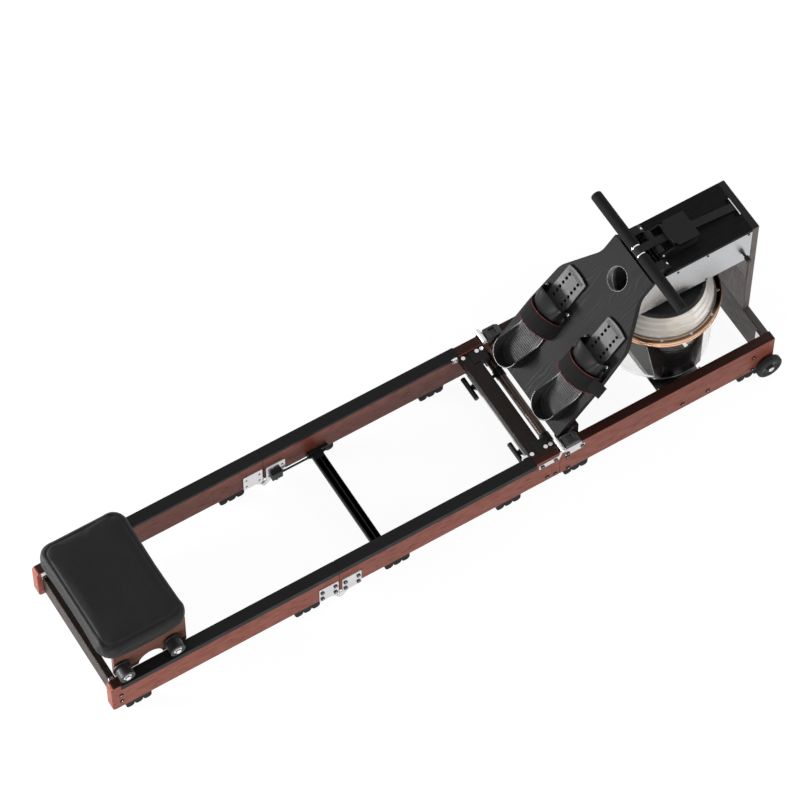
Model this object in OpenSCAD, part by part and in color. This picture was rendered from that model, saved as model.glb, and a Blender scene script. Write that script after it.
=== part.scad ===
// Folding water rowing machine: three wooden rail sections joined by two pairs of hinges,
// a water tank under the drive housing at the front and a rolling seat at the rear.
// +X points along the rails to the tank, +Y to the rower's left, +Z up. Units are millimetres.

/* [Rails] */
// Length of each of the three rail sections
section_len = 722; // [700:1:740]
// Width over the wooden rails
frame_w = 447; // [440:1:460]
// Thickness of a wooden rail
rail_t = 30; // [28:0.5:32]
// Height of a rail
rail_h = 120; // [116:1:126]
// Width of the gap between two rail sections
split_gap = 0.8; // [0.6:0.1:2]
// Radius of the rounded rail ends
rail_end_r = 12; // [6:1:14]
// Height of the rubber feet
foot_h = 33; // [30:1:33]
// Radius of one bump of a foot
bump_r = 13; // [10:0.5:13]
// Distance between the bumps of a foot
bump_pitch = 26.8; // [26.4:0.1:27]

/* [Seat track] */
// Thickness of the track cap above the wood
cap_t = 4; // [3:0.5:5]
// Thickness of the cap's side lips
cap_side_t = 3; // [2:0.5:3.5]
// Depth of the cap's outer lip, from the top of the cap
cap_lip_out = 21.5; // [16:0.5:26]
// Depth of the cap's inner lip, from the top of the cap
cap_lip_in = 13; // [9:0.5:15]
// Bare wood behind the cap at the rear end
cap_rear_gap = 31; // [26:1:34]
// Bare wood in front of the cap at the front hinge
cap_front_gap = 79; // [76:1:82]

/* [Seat] */
// Length of the seat pad along the rails
pad_len = 274; // [264:1:280]
// Width of the seat pad
pad_w = 400; // [380:1:410]
// Corner radius of the seat pad
pad_r = 50; // [36:1:64]
// How far the pad's long edges curve in at the middle
pad_waist = 4; // [0:1:12]
// Thickness of the seat pad at its rim
pad_t = 45; // [38:1:50]
// Height of the pad's underside above the track
pad_lift = 103; // [98:1:110]
// Distance between the two roller axles
roller_base = 157; // [150:1:165]
// Radius of a roller's tread
roller_r = 23; // [21:0.5:24]
// Radius of a roller's guide flange
flange_r = 27; // [25.5:0.5:29]
// Width of a roller's tread
roller_w = 28; // [24:0.5:30]
// Radius of a roller axle
axle_r = 4; // [3.5:0.5:5]
// Running clearance of each bore round its shaft
run_gap = 0.06; // [0.03:0.01:0.1]

/* [Mid hinge] */
// Depth of the hinge pin below the rails
mid_pin_drop = 17; // [17:0.1:18]
// Thickness of a hinge plate
plate_t = 3; // [2.5:0.5:3.5]
// Length of a hinge plate along the rail
plate_len = 62; // [58:1:66]
// Height of a hinge plate
plate_h = 66; // [60:1:70]
// Radius of the eye round the hinge pin
eye_r = 9; // [8:0.5:10]
// Radius of the hinge pins
pin_r = 4; // [3:0.5:4.5]
// Distance of the release bar from the hinge
release_x = 148; // [140:1:150]
// Width of the release bar along the rails
release_w = 35; // [28:1:36]

/* [Front hinge] */
// Height of the front hinge pin above the rails
front_pin_rise = 12; // [11.5:0.5:14]
// Distance of the front hinge pin from the split between the sections
front_pin_ahead = 6; // [5:0.5:7]
// Outer radius of the hinge knuckles
knuckle_r = 8; // [7:0.5:8.5]
// Length of the two knuckles together
knuckle_len = 41; // [38:1:44]
// Width of the cross plank behind the hinge
plank_w = 50; // [46:1:54]
// Thickness of the cross plank
plank_t = 28; // [24:1:30]
// Radius of the locking tube between the base rails
tube_r = 14; // [12:0.5:14.5]
// Distance of each locking pin from the middle
latch_y = 125; // [115:1:135]
// Radius of a locking pin
latch_r = 5; // [4:0.5:6]

/* [Drive housing] */
// Half width of the drive housing
house_half = 90; // [86:1:92]
// Height of the housing's top above the rail bottoms
house_top = 530; // [524:1:536]
// Thickness of the housing's lid
lid_t = 12; // [10:1:14]
// Thickness of the side plates
side_t = 3; // [2:0.5:4]
// Height of the side plates
side_h = 132; // [128:1:134]
// Distance of the lid's rear edge from the front end of the rails
lid_back = 305; // [300:1:308]
// Thickness of the front post
post_t = 22; // [20:1:24]
// Width of the drive strap
strap_w = 24; // [20:1:25]
// Thickness of the drive strap
strap_t = 1.6; // [1.2:0.1:2]
// Radius of the pulley that turns the strap down to the drum
pulley_r = 22; // [20:0.5:23]
// Radius of the strap drum
drum_r = 32; // [28:1:34]

/* [Handle] */
// Length of the handle
handle_len = 446; // [430:1:460]
// Radius of the handle with its grips
grip_r = 17; // [16:0.5:17.5]
// Radius of the bare handle bar
bar_r = 13; // [12:0.5:14]
// Height of the handle's axis above the lid
handle_rise = 20; // [20:0.5:22]

/* [Footboard] */
// Angle of the footboard
board_angle = 50; // [49:0.5:51]
// Distance of the footboard's lower end from the split between the sections
board_gap = 17.5; // [16:0.5:22]
// Thickness of the footboard
board_t = 18; // [16:1:20]
// Half width of the footboard's lower end
board_half = 175; // [170:1:178]
// Half width of the footboard's neck
neck_half = 94; // [92:1:98]
// Radius of the round hand hole
hand_hole_r = 36; // [30:0.5:38]
// Distance of each foot plate from the middle
sole_y = 100.5; // [98:0.5:102]
// Width of a sole plate at the toes
sole_w = 84; // [80:1:86]
// Distance between the adjusting holes
hole_pitch = 16; // [15:0.5:17]

/* [Tank] */
// Distance of the tank's axis from the front end of the rails
tank_back = 261; // [259:1:263]
// Width of the clamping ring beyond the tank
ring_w = 18; // [16:0.5:20]
// Height of the clamping ring's middle above the rail bottoms
ring_z = 278; // [272:1:282]
// Height of the clamping ring
ring_h = 16; // [14:1:20]
// Outer radius of the tank
tank_r = 160; // [157:0.5:161]
// Wall thickness of the clear shells
shell_t = 5; // [4:0.5:6]
// Height of the tank's underside above the rail bottoms
tank_floor = 46; // [44:1:50]
// Number of clamp bolts round the ring
ring_bolts = 12; // [8:4:16]

/* [Transport wheels] */
// Radius of a transport wheel
wheel_r = 41; // [38:0.5:42]
// Width of a transport wheel
wheel_w = 22; // [18:1:24]
// Distance of the wheel's axle from the front end of the rails
wheel_back = 24; // [22:1:26]
// Height of the wheel's axle above the rail bottoms
wheel_up = 12; // [11:0.5:14]

/* [Hidden] */

// Number of sides of the round parts; above 12 they stand for a true circle
fine = 48;
small = 24;

// Heights above the floor
rail_z = foot_h;
rail_top = rail_z + rail_h;
wood_top = rail_top - cap_t;
house_z = rail_z + house_top;
side_z0 = house_z - lid_t - side_h;

// Places along the machine, with the origin in the middle of its length
x_rear = -(3 * section_len + wheel_r - wheel_back) / 2;
x_mid = x_rear + section_len;
x_split = x_rear + 2 * section_len;
x_front = x_rear + 3 * section_len;

// Places across the machine
rail_out = frame_w / 2;
rail_in = rail_out - rail_t;
cap_out = rail_out + cap_side_t;
cap_in = rail_in - cap_side_t;

// Small gaps between pieces that are bolted together round a curve, and between moving pieces
fit_gap = 0.3;
air = 0.5;

// A block between two corners
module block(low, high) {
    translate(low) cube(high - low);
}

// The same thing on both sides of the middle plane
module both_sides() {
    children();
    mirror([0, 1, 0]) children();
}

// The same thing on the outer and on the inner face of the right rail
module both_faces() {
    children();
    translate([0, -rail_out - rail_in, 0]) mirror([0, 1, 0]) children();
}

// Round bars along each axis
module bar_x(x0, x1, y, z, r, n = fine) {
    translate([x0, y, z]) rotate([0, 90, 0]) cylinder(h = x1 - x0, r = r, $fn = n);
}

module bar_y(x, y0, y1, z, r, n = fine) {
    translate([x, y1, z]) rotate([90, 0, 0]) cylinder(h = y1 - y0, r = r, $fn = n);
}

module bar_z(x, y, z0, z1, r, n = fine) {
    translate([x, y, z0]) cylinder(h = z1 - z0, r = r, $fn = n);
}

// A rectangle with rounded corners, from one corner point to the other
module soft_rect(x0, y0, x1, y1, r) {
    translate([x0 + r, y0]) square([x1 - x0 - 2 * r, y1 - y0]);
    translate([x0, y0 + r]) square([x1 - x0, y1 - y0 - 2 * r]);
    for (x = [x0 + r, x1 - r], y = [y0 + r, y1 - r]) translate([x, y]) circle(r = r, $fn = fine);
}

// Stands a drawing in X and Z upright and gives it a thickness from y0 to y1
module upright(y0, y1) {
    translate([0, y1, 0]) rotate([90, 0, 0]) linear_extrude(y1 - y0) children();
}

// Bolts

head_r = 6.3;
head_h = 3;
shank_r = 3.4;
bolt_deep = 12;

// A button head bolt at the origin, its head on the -Y side
module side_bolt() {
    rotate([90, 0, 0]) difference() {
        union() {
            cylinder(h = head_h, r = head_r, $fn = small);
            translate([0, 0, -bolt_deep]) cylinder(h = bolt_deep + 1, r = shank_r, $fn = small);
        }
        translate([0, 0, 1.2]) cylinder(h = head_h, r = 2.3, $fn = 6);
    }
}

// Bolts with their heads on the right rail's outer face, at a list of [x, z] places
module right_bolts(places, out = rail_out) {
    for (p = places) translate([p[0], -out, p[1]]) side_bolt();
}

// The holes that such bolts need
module right_holes(places) {
    for (p = places)
        bar_y(p[0], -rail_out - 8, -rail_out + bolt_deep + 1, p[1], shank_r + fit_gap, small);
}

// Feet

// How much a bump is flattened where it stands on the floor
bump_flat = 0.8;

// A rubber foot of three round bumps under the right rail
module foot(x) {
    z1 = bump_r - bump_flat;
    upright(-rail_out + 3, -rail_in - 3) translate([x, 0]) for (i = [-1:1]) {
        intersection() {
            translate([i * bump_pitch, z1]) circle(r = bump_r, $fn = fine);
            translate([i * bump_pitch - bump_r, 0]) square([2 * bump_r, z1]);
        }
        translate([i * bump_pitch - bump_r, z1]) square([2 * bump_r, rail_z - z1]);
        translate([i * bump_pitch - bump_pitch / 2, rail_z - 8]) square([bump_pitch, 8]);
    }
}

module base_feet() {
    color("#1b1b1b") both_sides() for (x = [x_split + 58, x_front - 76]) foot(x);
}

module mid_feet() {
    color("#1b1b1b") both_sides() for (x = [x_mid + 190, x_split - 166]) foot(x);
}

module rear_feet() {
    color("#1b1b1b") both_sides() for (x = [x_rear + 82, x_mid - 102]) foot(x);
}

// Rails

wheel_z = rail_z + wheel_up;
wheel_x = x_front - wheel_back;
stub_r = 5;

tray_x0 = x_front - tank_back - 83;
tray_x1 = x_front - tank_back + 58;

rear_bolt_at = [[x_rear + 29, rail_z + 66], [x_rear + 29, rail_z + 32]];
mid_bolt_at = [[x_split - 41, rail_z + 19], [x_split - 14, rail_z + 14]];
mid_strap_at = [[x_split - 61, rail_z + 98], [x_split - 17, rail_z + 97]];
base_strap_at = [[x_split + 23, rail_z + 98], [x_split + 71, rail_z + 99]];
base_bolt_at = [
    [x_split + 24, rail_z + 74], [x_split + 29, rail_z + 9],
    [tray_x0 + 35, rail_z + 24], [tray_x1 - 20, rail_z + 24],
    [x_front - 70, rail_z + 73], [x_front - 70, rail_z + 10]
];

module base_rails() {
    color("#8f5142") both_sides() difference() {
        block([x_split + split_gap / 2, -rail_out, rail_z], [x_front, -rail_in, rail_top]);
        right_holes(base_bolt_at);
        right_holes(base_strap_at);
        bar_y(wheel_x, -rail_out - 1, -rail_out + 21, wheel_z, stub_r + fit_gap);
    }
}

module mid_rails() {
    x0 = x_mid + split_gap / 2;
    x1 = x_split - split_gap / 2;
    color("#8f5142") both_sides() difference() {
        union() {
            block([x0, -rail_out, rail_z], [x1, -rail_in, wood_top]);
            block([x_split - cap_front_gap, -rail_out, rail_z], [x1, -rail_in, rail_top]);
        }
        right_holes(mid_bolt_at);
        right_holes(mid_strap_at);
        right_holes(plate_bolts(1));
    }
}

module rear_rails() {
    color("#8f5142") both_sides() difference() {
        upright(-rail_out, -rail_in) {
            soft_rect(x_rear, rail_z, x_rear + cap_rear_gap, rail_top, rail_end_r);
            translate([x_rear + rail_end_r, rail_z]) square([cap_rear_gap - rail_end_r, rail_h]);
            translate([x_rear + rail_end_r, rail_z])
                square([section_len - rail_end_r - split_gap / 2, wood_top - rail_z]);
        }
        right_holes(rear_bolt_at);
        right_holes(plate_bolts(-1));
    }
}

// Track caps with a deep outer and a shallow inner lip, folded over the rail's wood

module cap(x0, x1) {
    block([x0, -cap_out, wood_top], [x1, -cap_in, rail_top]);
    block([x0, -cap_out, rail_top - cap_lip_out], [x1, -rail_out, rail_top]);
    block([x0, -rail_in, rail_top - cap_lip_in], [x1, -cap_in, rail_top]);
}

module mid_caps() {
    color("#1d1d1d") both_sides() cap(x_mid + split_gap / 2, x_split - cap_front_gap);
}

module rear_caps() {
    color("#1d1d1d") both_sides() cap(x_rear + cap_rear_gap, x_mid - split_gap / 2);
}

module rear_crossbar() {
    color("#5d3a30") upright(-rail_in, rail_in)
        soft_rect(x_rear + 16, rail_z + 15, x_rear + 38, rail_z + 88, 4);
}

// Mid hinge: plates on both faces of each rail, with eyes round a pin under the split

pin_z = rail_z - mid_pin_drop;
plate_gap = 5;
ear_gap = 0.4;

// Bolt places of one plate; side is -1 for the rear plate and 1 for the front plate
function plate_bolts(side) = [
    for (dx = [plate_gap + 10, plate_gap + plate_len - 10], dz = [12, 44])
        [x_mid + side * dx, rail_z + dz]
];

// A plate's outline in X and Z, without its ear
module plate_shape(side) {
    x0 = x_mid + (side > 0 ? plate_gap : -plate_gap - plate_len);
    soft_rect(x0, rail_z - 2, x0 + plate_len, rail_z - 2 + plate_h, 4);
}

// The ear that joins a plate to the pin
module ear_shape(side) {
    translate([x_mid, pin_z]) {
        circle(r = eye_r, $fn = fine);
        rotate(side > 0 ? 45 : 135) translate([0, 0.7 - eye_r]) square([34, 2 * eye_r - 1.4]);
    }
}

module mid_hinge_rear() {
    color("#c8c8c8") both_sides() both_faces() difference() {
        upright(-rail_out - plate_t, -rail_out) {
            plate_shape(-1);
            ear_shape(-1);
        }
        bar_y(x_mid, -rail_out - plate_t - 1, -rail_out + 1, pin_z, pin_r + run_gap);
        right_holes(plate_bolts(-1));
    }
}

module mid_hinge_front() {
    outer = rail_out + 2 * plate_t + ear_gap;
    color("#c8c8c8") both_sides() {
        both_faces() difference() {
            union() {
                upright(-outer, -rail_out) plate_shape(1);
                upright(-outer, -outer + plate_t) ear_shape(1);
            }
            right_holes(plate_bolts(1));
        }
        bar_y(x_mid, -outer - 1, -rail_out - rail_in + outer + 1, pin_z, pin_r);
    }
}

// Front hinge: side straps that rise to knuckles above the split

pin_x = x_split + front_pin_ahead;
top_pin_z = rail_top + front_pin_rise;
knuckle_y0 = cap_in - 3;
knuckle_y1 = knuckle_y0 + knuckle_len;
knuckle_mid = rail_out - 9;
strap_lo = rail_z + 88;

module front_hinge_base() {
    x0 = pin_x + 9.5;
    x1 = x_split + 69;
    x2 = x_split + 79;
    color("#c8c8c8") both_sides() {
        upright(-knuckle_mid + ear_gap, -knuckle_y0) {
            translate([pin_x, top_pin_z]) circle(r = knuckle_r, $fn = fine);
            polygon([
                [pin_x + 1, top_pin_z - knuckle_r + 0.2], [x0, rail_top], [x1, rail_top],
                [x1, rail_top + plate_t], [x0 + 2, rail_top + plate_t], [pin_x + 4, top_pin_z + 2]
            ]);
        }
        block([x0, -rail_out - plate_t, rail_top], [x1, -knuckle_mid + 1, rail_top + plate_t]);
        difference() {
            block([x0, -rail_out - plate_t, strap_lo], [x2, -rail_out, rail_top + plate_t]);
            block([x1, -rail_out - plate_t - 1, strap_lo + 20], [x2 + 1, 0, rail_top + 9]);
            right_holes(base_strap_at);
        }
        bar_y(pin_x, -knuckle_y1 - 2.5, -knuckle_y0, top_pin_z, pin_r);
        bar_y(pin_x, -knuckle_y1 - 4, -knuckle_y1 - ear_gap, top_pin_z, pin_r + 2, small);
    }
}

module front_hinge_mid() {
    x0 = x_split - 72;
    color("#c8c8c8") both_sides() difference() {
        union() {
            upright(-rail_out - plate_t, -rail_out) polygon([
                [x0, strap_lo], [x_split - 5, strap_lo], [pin_x + 3, top_pin_z - 4],
                [pin_x - 4, top_pin_z + 3], [x_split - 8, strap_lo + 20], [x0, strap_lo + 20]
            ]);
            bar_y(pin_x, -knuckle_y1, -knuckle_mid, top_pin_z, knuckle_r);
        }
        bar_y(pin_x, -knuckle_y1 - 1, -knuckle_mid + 1, top_pin_z, pin_r + run_gap);
        right_holes(mid_strap_at);
    }
}

// Wedge shaped covers on the base leaves
module hinge_covers() {
    x0 = pin_x + 11.5;
    x1 = x_split + 69;
    z0 = rail_top + plate_t;
    color("#3a3c3e") both_sides() difference() {
        upright(-rail_out - 1, -knuckle_y0) polygon([
            [x0, z0], [x1, z0], [x1, z0 + 4], [x1 - 14, z0 + 14], [x0, z0 + 14]
        ]);
        block([x0 + 14, -rail_out + 6, z0 + 6], [x1 - 17, -knuckle_y0 - 6, z0 + 20]);
    }
}

// Cross plank of the mid section

plank_x1 = x_split - 28.5;
plank_x0 = plank_x1 - plank_w;
plank_z = rail_top - 10;
corner_t = 3;
plank_bolt_at = [for (s = [-1, 1]) [plank_x0 + 9, s * (rail_in - 10), plank_z]];
corner_bolt_at = [for (x = [plank_x1 + 4, x_split - 8.5], s = [-1, 1])
    [x, s * (rail_in - 10), plank_z + corner_t]];

module bolt_ways(list) {
    for (p = list) bar_z(p[0], p[1], p[2] - bolt_deep - 1, p[2] + 1, shank_r + fit_gap, small);
}

module mid_plank() {
    color("#3a241d") difference() {
        block([plank_x0, -rail_in, plank_z - plank_t], [plank_x1, rail_in, plank_z]);
        bolt_ways(plank_bolt_at);
    }
}

// Locking: a tube between the base rails, collars on it and two spring loaded pins

tube_x = x_split + 17;
latch_z = rail_z + 38;
pin_tip = x_split + 10;
collar_r = tube_r + 2;
guide_x0 = plank_x0 + 12;
guide_x1 = plank_x1 - 4;

// The openings in the tube and its collars that the pins enter
module pin_mouths() {
    for (y = [-latch_y, latch_y])
        bar_x(tube_x - tube_r - 5, tube_x, y, latch_z, latch_r + 1);
}

module locking_tube() {
    color("#7a4a2e") difference() {
        bar_y(tube_x, -rail_in, rail_in, latch_z, tube_r);
        bar_y(tube_x, -rail_in - 1, rail_in + 1, latch_z, tube_r - 3);
        pin_mouths();
    }
}

module tube_collars() {
    color("#161616") difference() {
        for (y = [-latch_y, latch_y]) bar_y(tube_x, y - 14, y + 14, latch_z, collar_r);
        bar_y(tube_x, -latch_y - 15, latch_y + 15, latch_z, tube_r + 0.1);
        pin_mouths();
    }
}

module locking_pin(y) {
    head_x = x_split - 82;
    color("#1c1c1c") {
        bar_x(head_x, pin_tip, y, latch_z, latch_r);
        bar_y(head_x, y - 39, y + 39, latch_z, 7.5);
        bar_x(guide_x0 - 7, guide_x0 - air, y, latch_z, latch_r + 4);
    }
}

module locking_pin_left() {
    locking_pin(latch_y);
}

module locking_pin_right() {
    locking_pin(-latch_y);
}

// Release bar of the mid hinge with its two rods

release_z = rail_z + 5;
release_h = 15;
release_travel = 15;
rod_r = 3;
rod_y = rail_in - 2 * plate_t - ear_gap - 6.5;
rod_z = rail_z + 14;
box_x0 = x_mid + 18;
box_x1 = x_mid + 52;

module release_bar() {
    x0 = x_mid + release_x;
    color("#191919") {
        difference() {
            block([x0, -rod_y - 5, release_z], [x0 + release_w, rod_y + 5, release_z + release_h]);
            for (i = [0:3])
                block([x0 + 5 + i * 8, -rod_y + 20, release_z + release_h - 1.5],
                    [x0 + 8 + i * 8, rod_y - 20, release_z + release_h + 1]);
        }
        both_sides() bar_x(x_mid + 32, x0 + 4, -rod_y, rod_z, rod_r, small);
    }
}

// Guides of the pins and of the release bar, and the boxes of the mid hinge's latches
module latch_guides() {
    x0 = x_mid + release_x;
    x1 = x0 + release_w + release_travel;
    low = plank_z - plank_t;
    color("#1a1a1a") both_sides() {
        difference() {
            union() {
                block([plank_x1, -rail_in, low + 2], [x_split - 2, -rail_in + 42, plank_z + corner_t]);
                block([plank_x1 - 22, -rail_in, plank_z],
                    [plank_x1 + 1, -rail_in + 42, plank_z + corner_t]);
            }
            bolt_ways(corner_bolt_at);
        }
        difference() {
            union() {
                block([guide_x0, -latch_y - 13, latch_z], [guide_x1, -latch_y + 13, low]);
                bar_x(guide_x0, guide_x1, -latch_y, latch_z, 13);
            }
            bar_x(guide_x0 - 1, guide_x1 + 1, -latch_y, latch_z, latch_r + run_gap);
        }
        block([guide_x0, -latch_y - 22, low - 6], [guide_x1, -latch_y + 22, low]);
        difference() {
            block([box_x0, -rod_y - 6.5, rail_z - 1], [box_x1, -rod_y + 6.5, rail_z + 30]);
            bar_x(x_mid + 26, box_x1 + 1, -rod_y, rod_z, rod_r + run_gap, small);
        }
        bar_z(box_x0 + 16, -rod_y, rail_z - 9, rail_z - 1, 5, small);
        difference() {
            block([x0 - 8, -rail_in, rail_z], [x1 + 8, -rod_y - 2, release_z + release_h + 5]);
            block([x0 - air, -rod_y - 5 - air, release_z - air],
                [x1 + air, -rod_y, release_z + release_h + air]);
            bar_x(x0 - 9, x1 + 9, -rod_y, rod_z, rod_r + air, small);
        }
    }
}

// A stop on the cap's inner lip that meets the roller's flange
module seat_stop(x) {
    block([x, -cap_in, rail_top - cap_lip_in], [x + 16, -cap_in + 7, rail_top + 5]);
}

module mid_fixings() {
    color("#d0d0d0") {
        both_sides() {
            right_bolts(mid_bolt_at);
            right_bolts(mid_strap_at, rail_out + plate_t);
            right_bolts(plate_bolts(1), rail_out + 2 * plate_t + ear_gap);
            seat_stop(front_axle_x + flange_r + seat_travel + 1.5);
        }
        for (p = concat(plank_bolt_at, corner_bolt_at)) translate(p) rotate([-90, 0, 0]) side_bolt();
    }
}

module rear_fixings() {
    color("#d0d0d0") both_sides() {
        right_bolts(rear_bolt_at);
        right_bolts(plate_bolts(-1), rail_out + plate_t);
        block([x_rear + 12, -rail_in, rail_top - 24], [x_rear + 26, -cap_in + 7, rail_top - 3]);
    }
}

// Fixings of the base: bolts, wheel stubs and corner angles
module base_fixings() {
    stub_end = rail_out + 5 + wheel_w;
    corner_x = x_front - post_t;
    color("#d0d0d0") both_sides() {
        right_bolts(base_bolt_at);
        right_bolts(base_strap_at, rail_out + plate_t);
        bar_y(wheel_x, -stub_end - 1, -rail_out + 20, wheel_z, stub_r);
        bar_y(wheel_x, -rail_out - 5 + air, -rail_out, wheel_z, 9, small);
        bar_y(wheel_x, -stub_end - 4, -stub_end - air, wheel_z, 9, small);
        block([corner_x - 30, -rail_in, rail_z + 58], [corner_x, -rail_in + 3, rail_z + 98]);
        block([corner_x - 3, -rail_in, rail_z + 58], [corner_x, -rail_in + 30, rail_z + 98]);
    }
    ring_bolts_and_nuts();
}

module wheel() {
    y0 = -rail_out - 5 - wheel_w;
    y1 = -rail_out - 5;
    color("#1a1a1a") difference() {
        translate([wheel_x, y1, wheel_z]) rotate([90, 0, 0]) rotate_extrude($fn = 64) {
            translate([stub_r + run_gap, 0]) square([12 - stub_r - run_gap, wheel_w]);
            translate([12, 5]) square([13, wheel_w - 10]);
            soft_rect(24, 0, wheel_r, wheel_w, 7);
        }
        for (a = [0:72:288]) translate([wheel_x, 0, wheel_z]) rotate([0, a, 0])
            bar_y(18, y0 - 1, y1 + 1, 0, 3.5, small);
    }
}

module wheel_right() {
    wheel();
}

module wheel_left() {
    mirror([0, 1, 0]) wheel();
}

// Front frame

module cross_board() {
    color("#6a4a40") upright(-rail_in, rail_in)
        soft_rect(x_front - post_t, rail_z - 15, x_front, rail_z + 110, 3);
}

module front_post() {
    gusset_y = house_half - side_t;
    x1 = x_front - post_t;
    color("#6a4a40") {
        block([x1, -house_half, rail_z + 110], [x_front, house_half, house_z]);
        both_sides() upright(-gusset_y, -gusset_y + 13) polygon([
            [x1, side_z0 - 118], [x1, side_z0 + 22], [x1 - 44, side_z0 + 22], [x1 - 44, side_z0 - 6]
        ]);
    }
}

// Footboard. In its own frame X runs up the board, Z stands out of its face,
// and the origin is the middle of the hand hole.

hole_down = 79;
board_top_x = x_front - lid_back - 53;
hole_at = [
    board_top_x - hole_down * cos(board_angle), 0, house_z - hole_down * sin(board_angle)
];
board_len = (section_len - lid_back - 53 - board_gap) / cos(board_angle);
board_low = hole_down - board_len;
foot_u = board_low + 460;

module on_board() {
    translate(hole_at) rotate([0, -board_angle, 0]) children();
}

// X of the board's underside at a given height
function under_x(z) = hole_at[0] + board_t * sin(board_angle)
    + (z - hole_at[2] + board_t * cos(board_angle)) / tan(board_angle);

neck_u = 12;
shoulder_u = -120;
shoulder_half = board_half - 7;
belly_u = -265;
belly_half = board_half + 1;
neck_fillet = 60;
shoulder_round = 80;

// One half of the board's outline, with an exact fillet at the neck and a round shoulder
module board_half_shape() {
    slope = atan2(shoulder_half - neck_half, neck_u - shoulder_u);
    flat = atan2(belly_half - shoulder_half, shoulder_u - belly_u);
    t1 = neck_fillet * tan(slope / 2);
    t2 = shoulder_round * tan((slope - flat) / 2);
    a = [neck_u + t1, neck_half];
    b = [neck_u - t1 * cos(slope), neck_half + t1 * sin(slope)];
    c = [shoulder_u + t2 * cos(slope), shoulder_half - t2 * sin(slope)];
    d = [shoulder_u - t2 * cos(flat), shoulder_half + t2 * sin(flat)];
    polygon([
        [hole_down, 0], [hole_down, neck_half], a, [neck_u, neck_half], b, c, d,
        [belly_u, belly_half], [board_low, board_half], [board_low, 0]
    ]);
    difference() {
        polygon([a, [neck_u, neck_half - 1], b]);
        translate([a[0], neck_half + neck_fillet]) circle(r = neck_fillet, $fn = 96);
    }
    translate(d - shoulder_round * [sin(flat), cos(flat)]) circle(r = shoulder_round, $fn = 96);
}

module footboard() {
    color("#262626") on_board() translate([0, 0, -board_t]) difference() {
        linear_extrude(board_t) {
            board_half_shape();
            mirror([0, 1]) board_half_shape();
        }
        translate([0, 0, -1]) cylinder(h = board_t + 2, r = hand_hole_r, $fn = 64);
    }
}

// Wooden blocks on the rails that carry the board's lower end
module board_cleats() {
    z0 = rail_z + 60;
    low = hole_at[2] + board_low * sin(board_angle) - board_t * cos(board_angle);
    x0 = under_x(low + 2);
    x1 = under_x(low + 44);
    color("#4a3028") both_sides() {
        upright(-knuckle_y0 + 1, -board_half + 35) polygon([
            [x0, low + 2], [x1, low + 44], [x1 + 14, low + 44], [x1 + 14, z0], [x0, z0]
        ]);
        block([x0, -rail_in, z0], [x1 + 14, -knuckle_y0 + 2, low + 2]);
    }
}

// Foot plates. Each has its own frame on the board, with the middle of the foot at Y = 0.

module on_foot(side) {
    on_board() translate([foot_u, side * sole_y, 0]) children();
}

base_t = 3;
slide_gap = 0.4;
sole_t = 4;
toe_u = -85;
first_hole_u = -108.4;
row_half = 21;
guide_u0 = -300;
guide_u1 = -176;

// The fixed base under a sole plate, with guides at its edges and ears for its screws
module foot_bracket() {
    w = sole_w / 2 + slide_gap;
    top = base_t + 2 * slide_gap + sole_t;
    difference() {
        union() {
            linear_extrude(base_t) soft_rect(guide_u0, -w - 6, guide_u1, w + 6, 5);
            both_sides() {
                block([-231, w, 0], [guide_u1 - 6, w + 6, top + 3]);
                block([-231, w - 2, top], [-200, w + 6, top + 3]);
                block([-231, w + 4, 0], [-206, 63, 14]);
                linear_extrude(6) soft_rect(-212, w + 2, -183, 63, 4);
            }
        }
        both_sides() translate([-192, 56, -1]) cylinder(h = 9, r = 2.5, $fn = 16);
    }
}

module foot_brackets() {
    color("#1c1c1c") for (side = [-1, 1]) on_foot(side) foot_bracket();
}

strap_r = 64;

// A padded strap that arches over the foot
module foot_arch() {
    translate([-290, 0, 0]) rotate([90, 0, 90]) linear_extrude(58) difference() {
        circle(r = strap_r, $fn = 64);
        circle(r = strap_r - 5, $fn = 64);
        translate([-strap_r - 1, -strap_r - 1]) square([2 * strap_r + 2, strap_r + 1]);
    }
}

module foot_straps() {
    color("#161616") {
        for (side = [-1, 1]) on_foot(side) foot_arch();
        on_foot(-1) translate([-247, -strap_r + 7, 26]) rotate([24, 0, 0])
            block([0, -46, 0], [46, 0, 2]);
    }
}

// The sole plate with its two rows of adjusting holes and its rounded toe
module sole(side) {
    color("#8b8b8b") on_foot(side) translate([0, 0, base_t + slide_gap]) {
        difference() {
            linear_extrude(sole_t) intersection() {
                soft_rect(-238, -sole_w / 2, toe_u, sole_w / 2, 5);
                translate([toe_u - 150, 0]) circle(r = 150, $fn = 128);
            }
            for (i = [0:5], v = [-row_half, row_half])
                translate([first_hole_u - i * hole_pitch, v, -1])
                    cylinder(h = sole_t + 2, r = 5, $fn = 20);
        }
        for (i = [0:2])
            block([toe_u - 12 - i * 3.5, -sole_w / 2 + 8, sole_t - 0.5],
                [toe_u - 10.4 - i * 3.5, sole_w / 2 - 8, sole_t + 0.8]);
    }
}

module sole_left() {
    sole(1);
}

module sole_right() {
    sole(-1);
}

heel_r = 49;
heel_u = -449;
wall_h = 44;

module heel_shape(r, u1) {
    c = heel_u + heel_r;
    translate([c, 0]) circle(r = r, $fn = 64);
    translate([c, -r]) square([u1 - c, 2 * r]);
}

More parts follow.
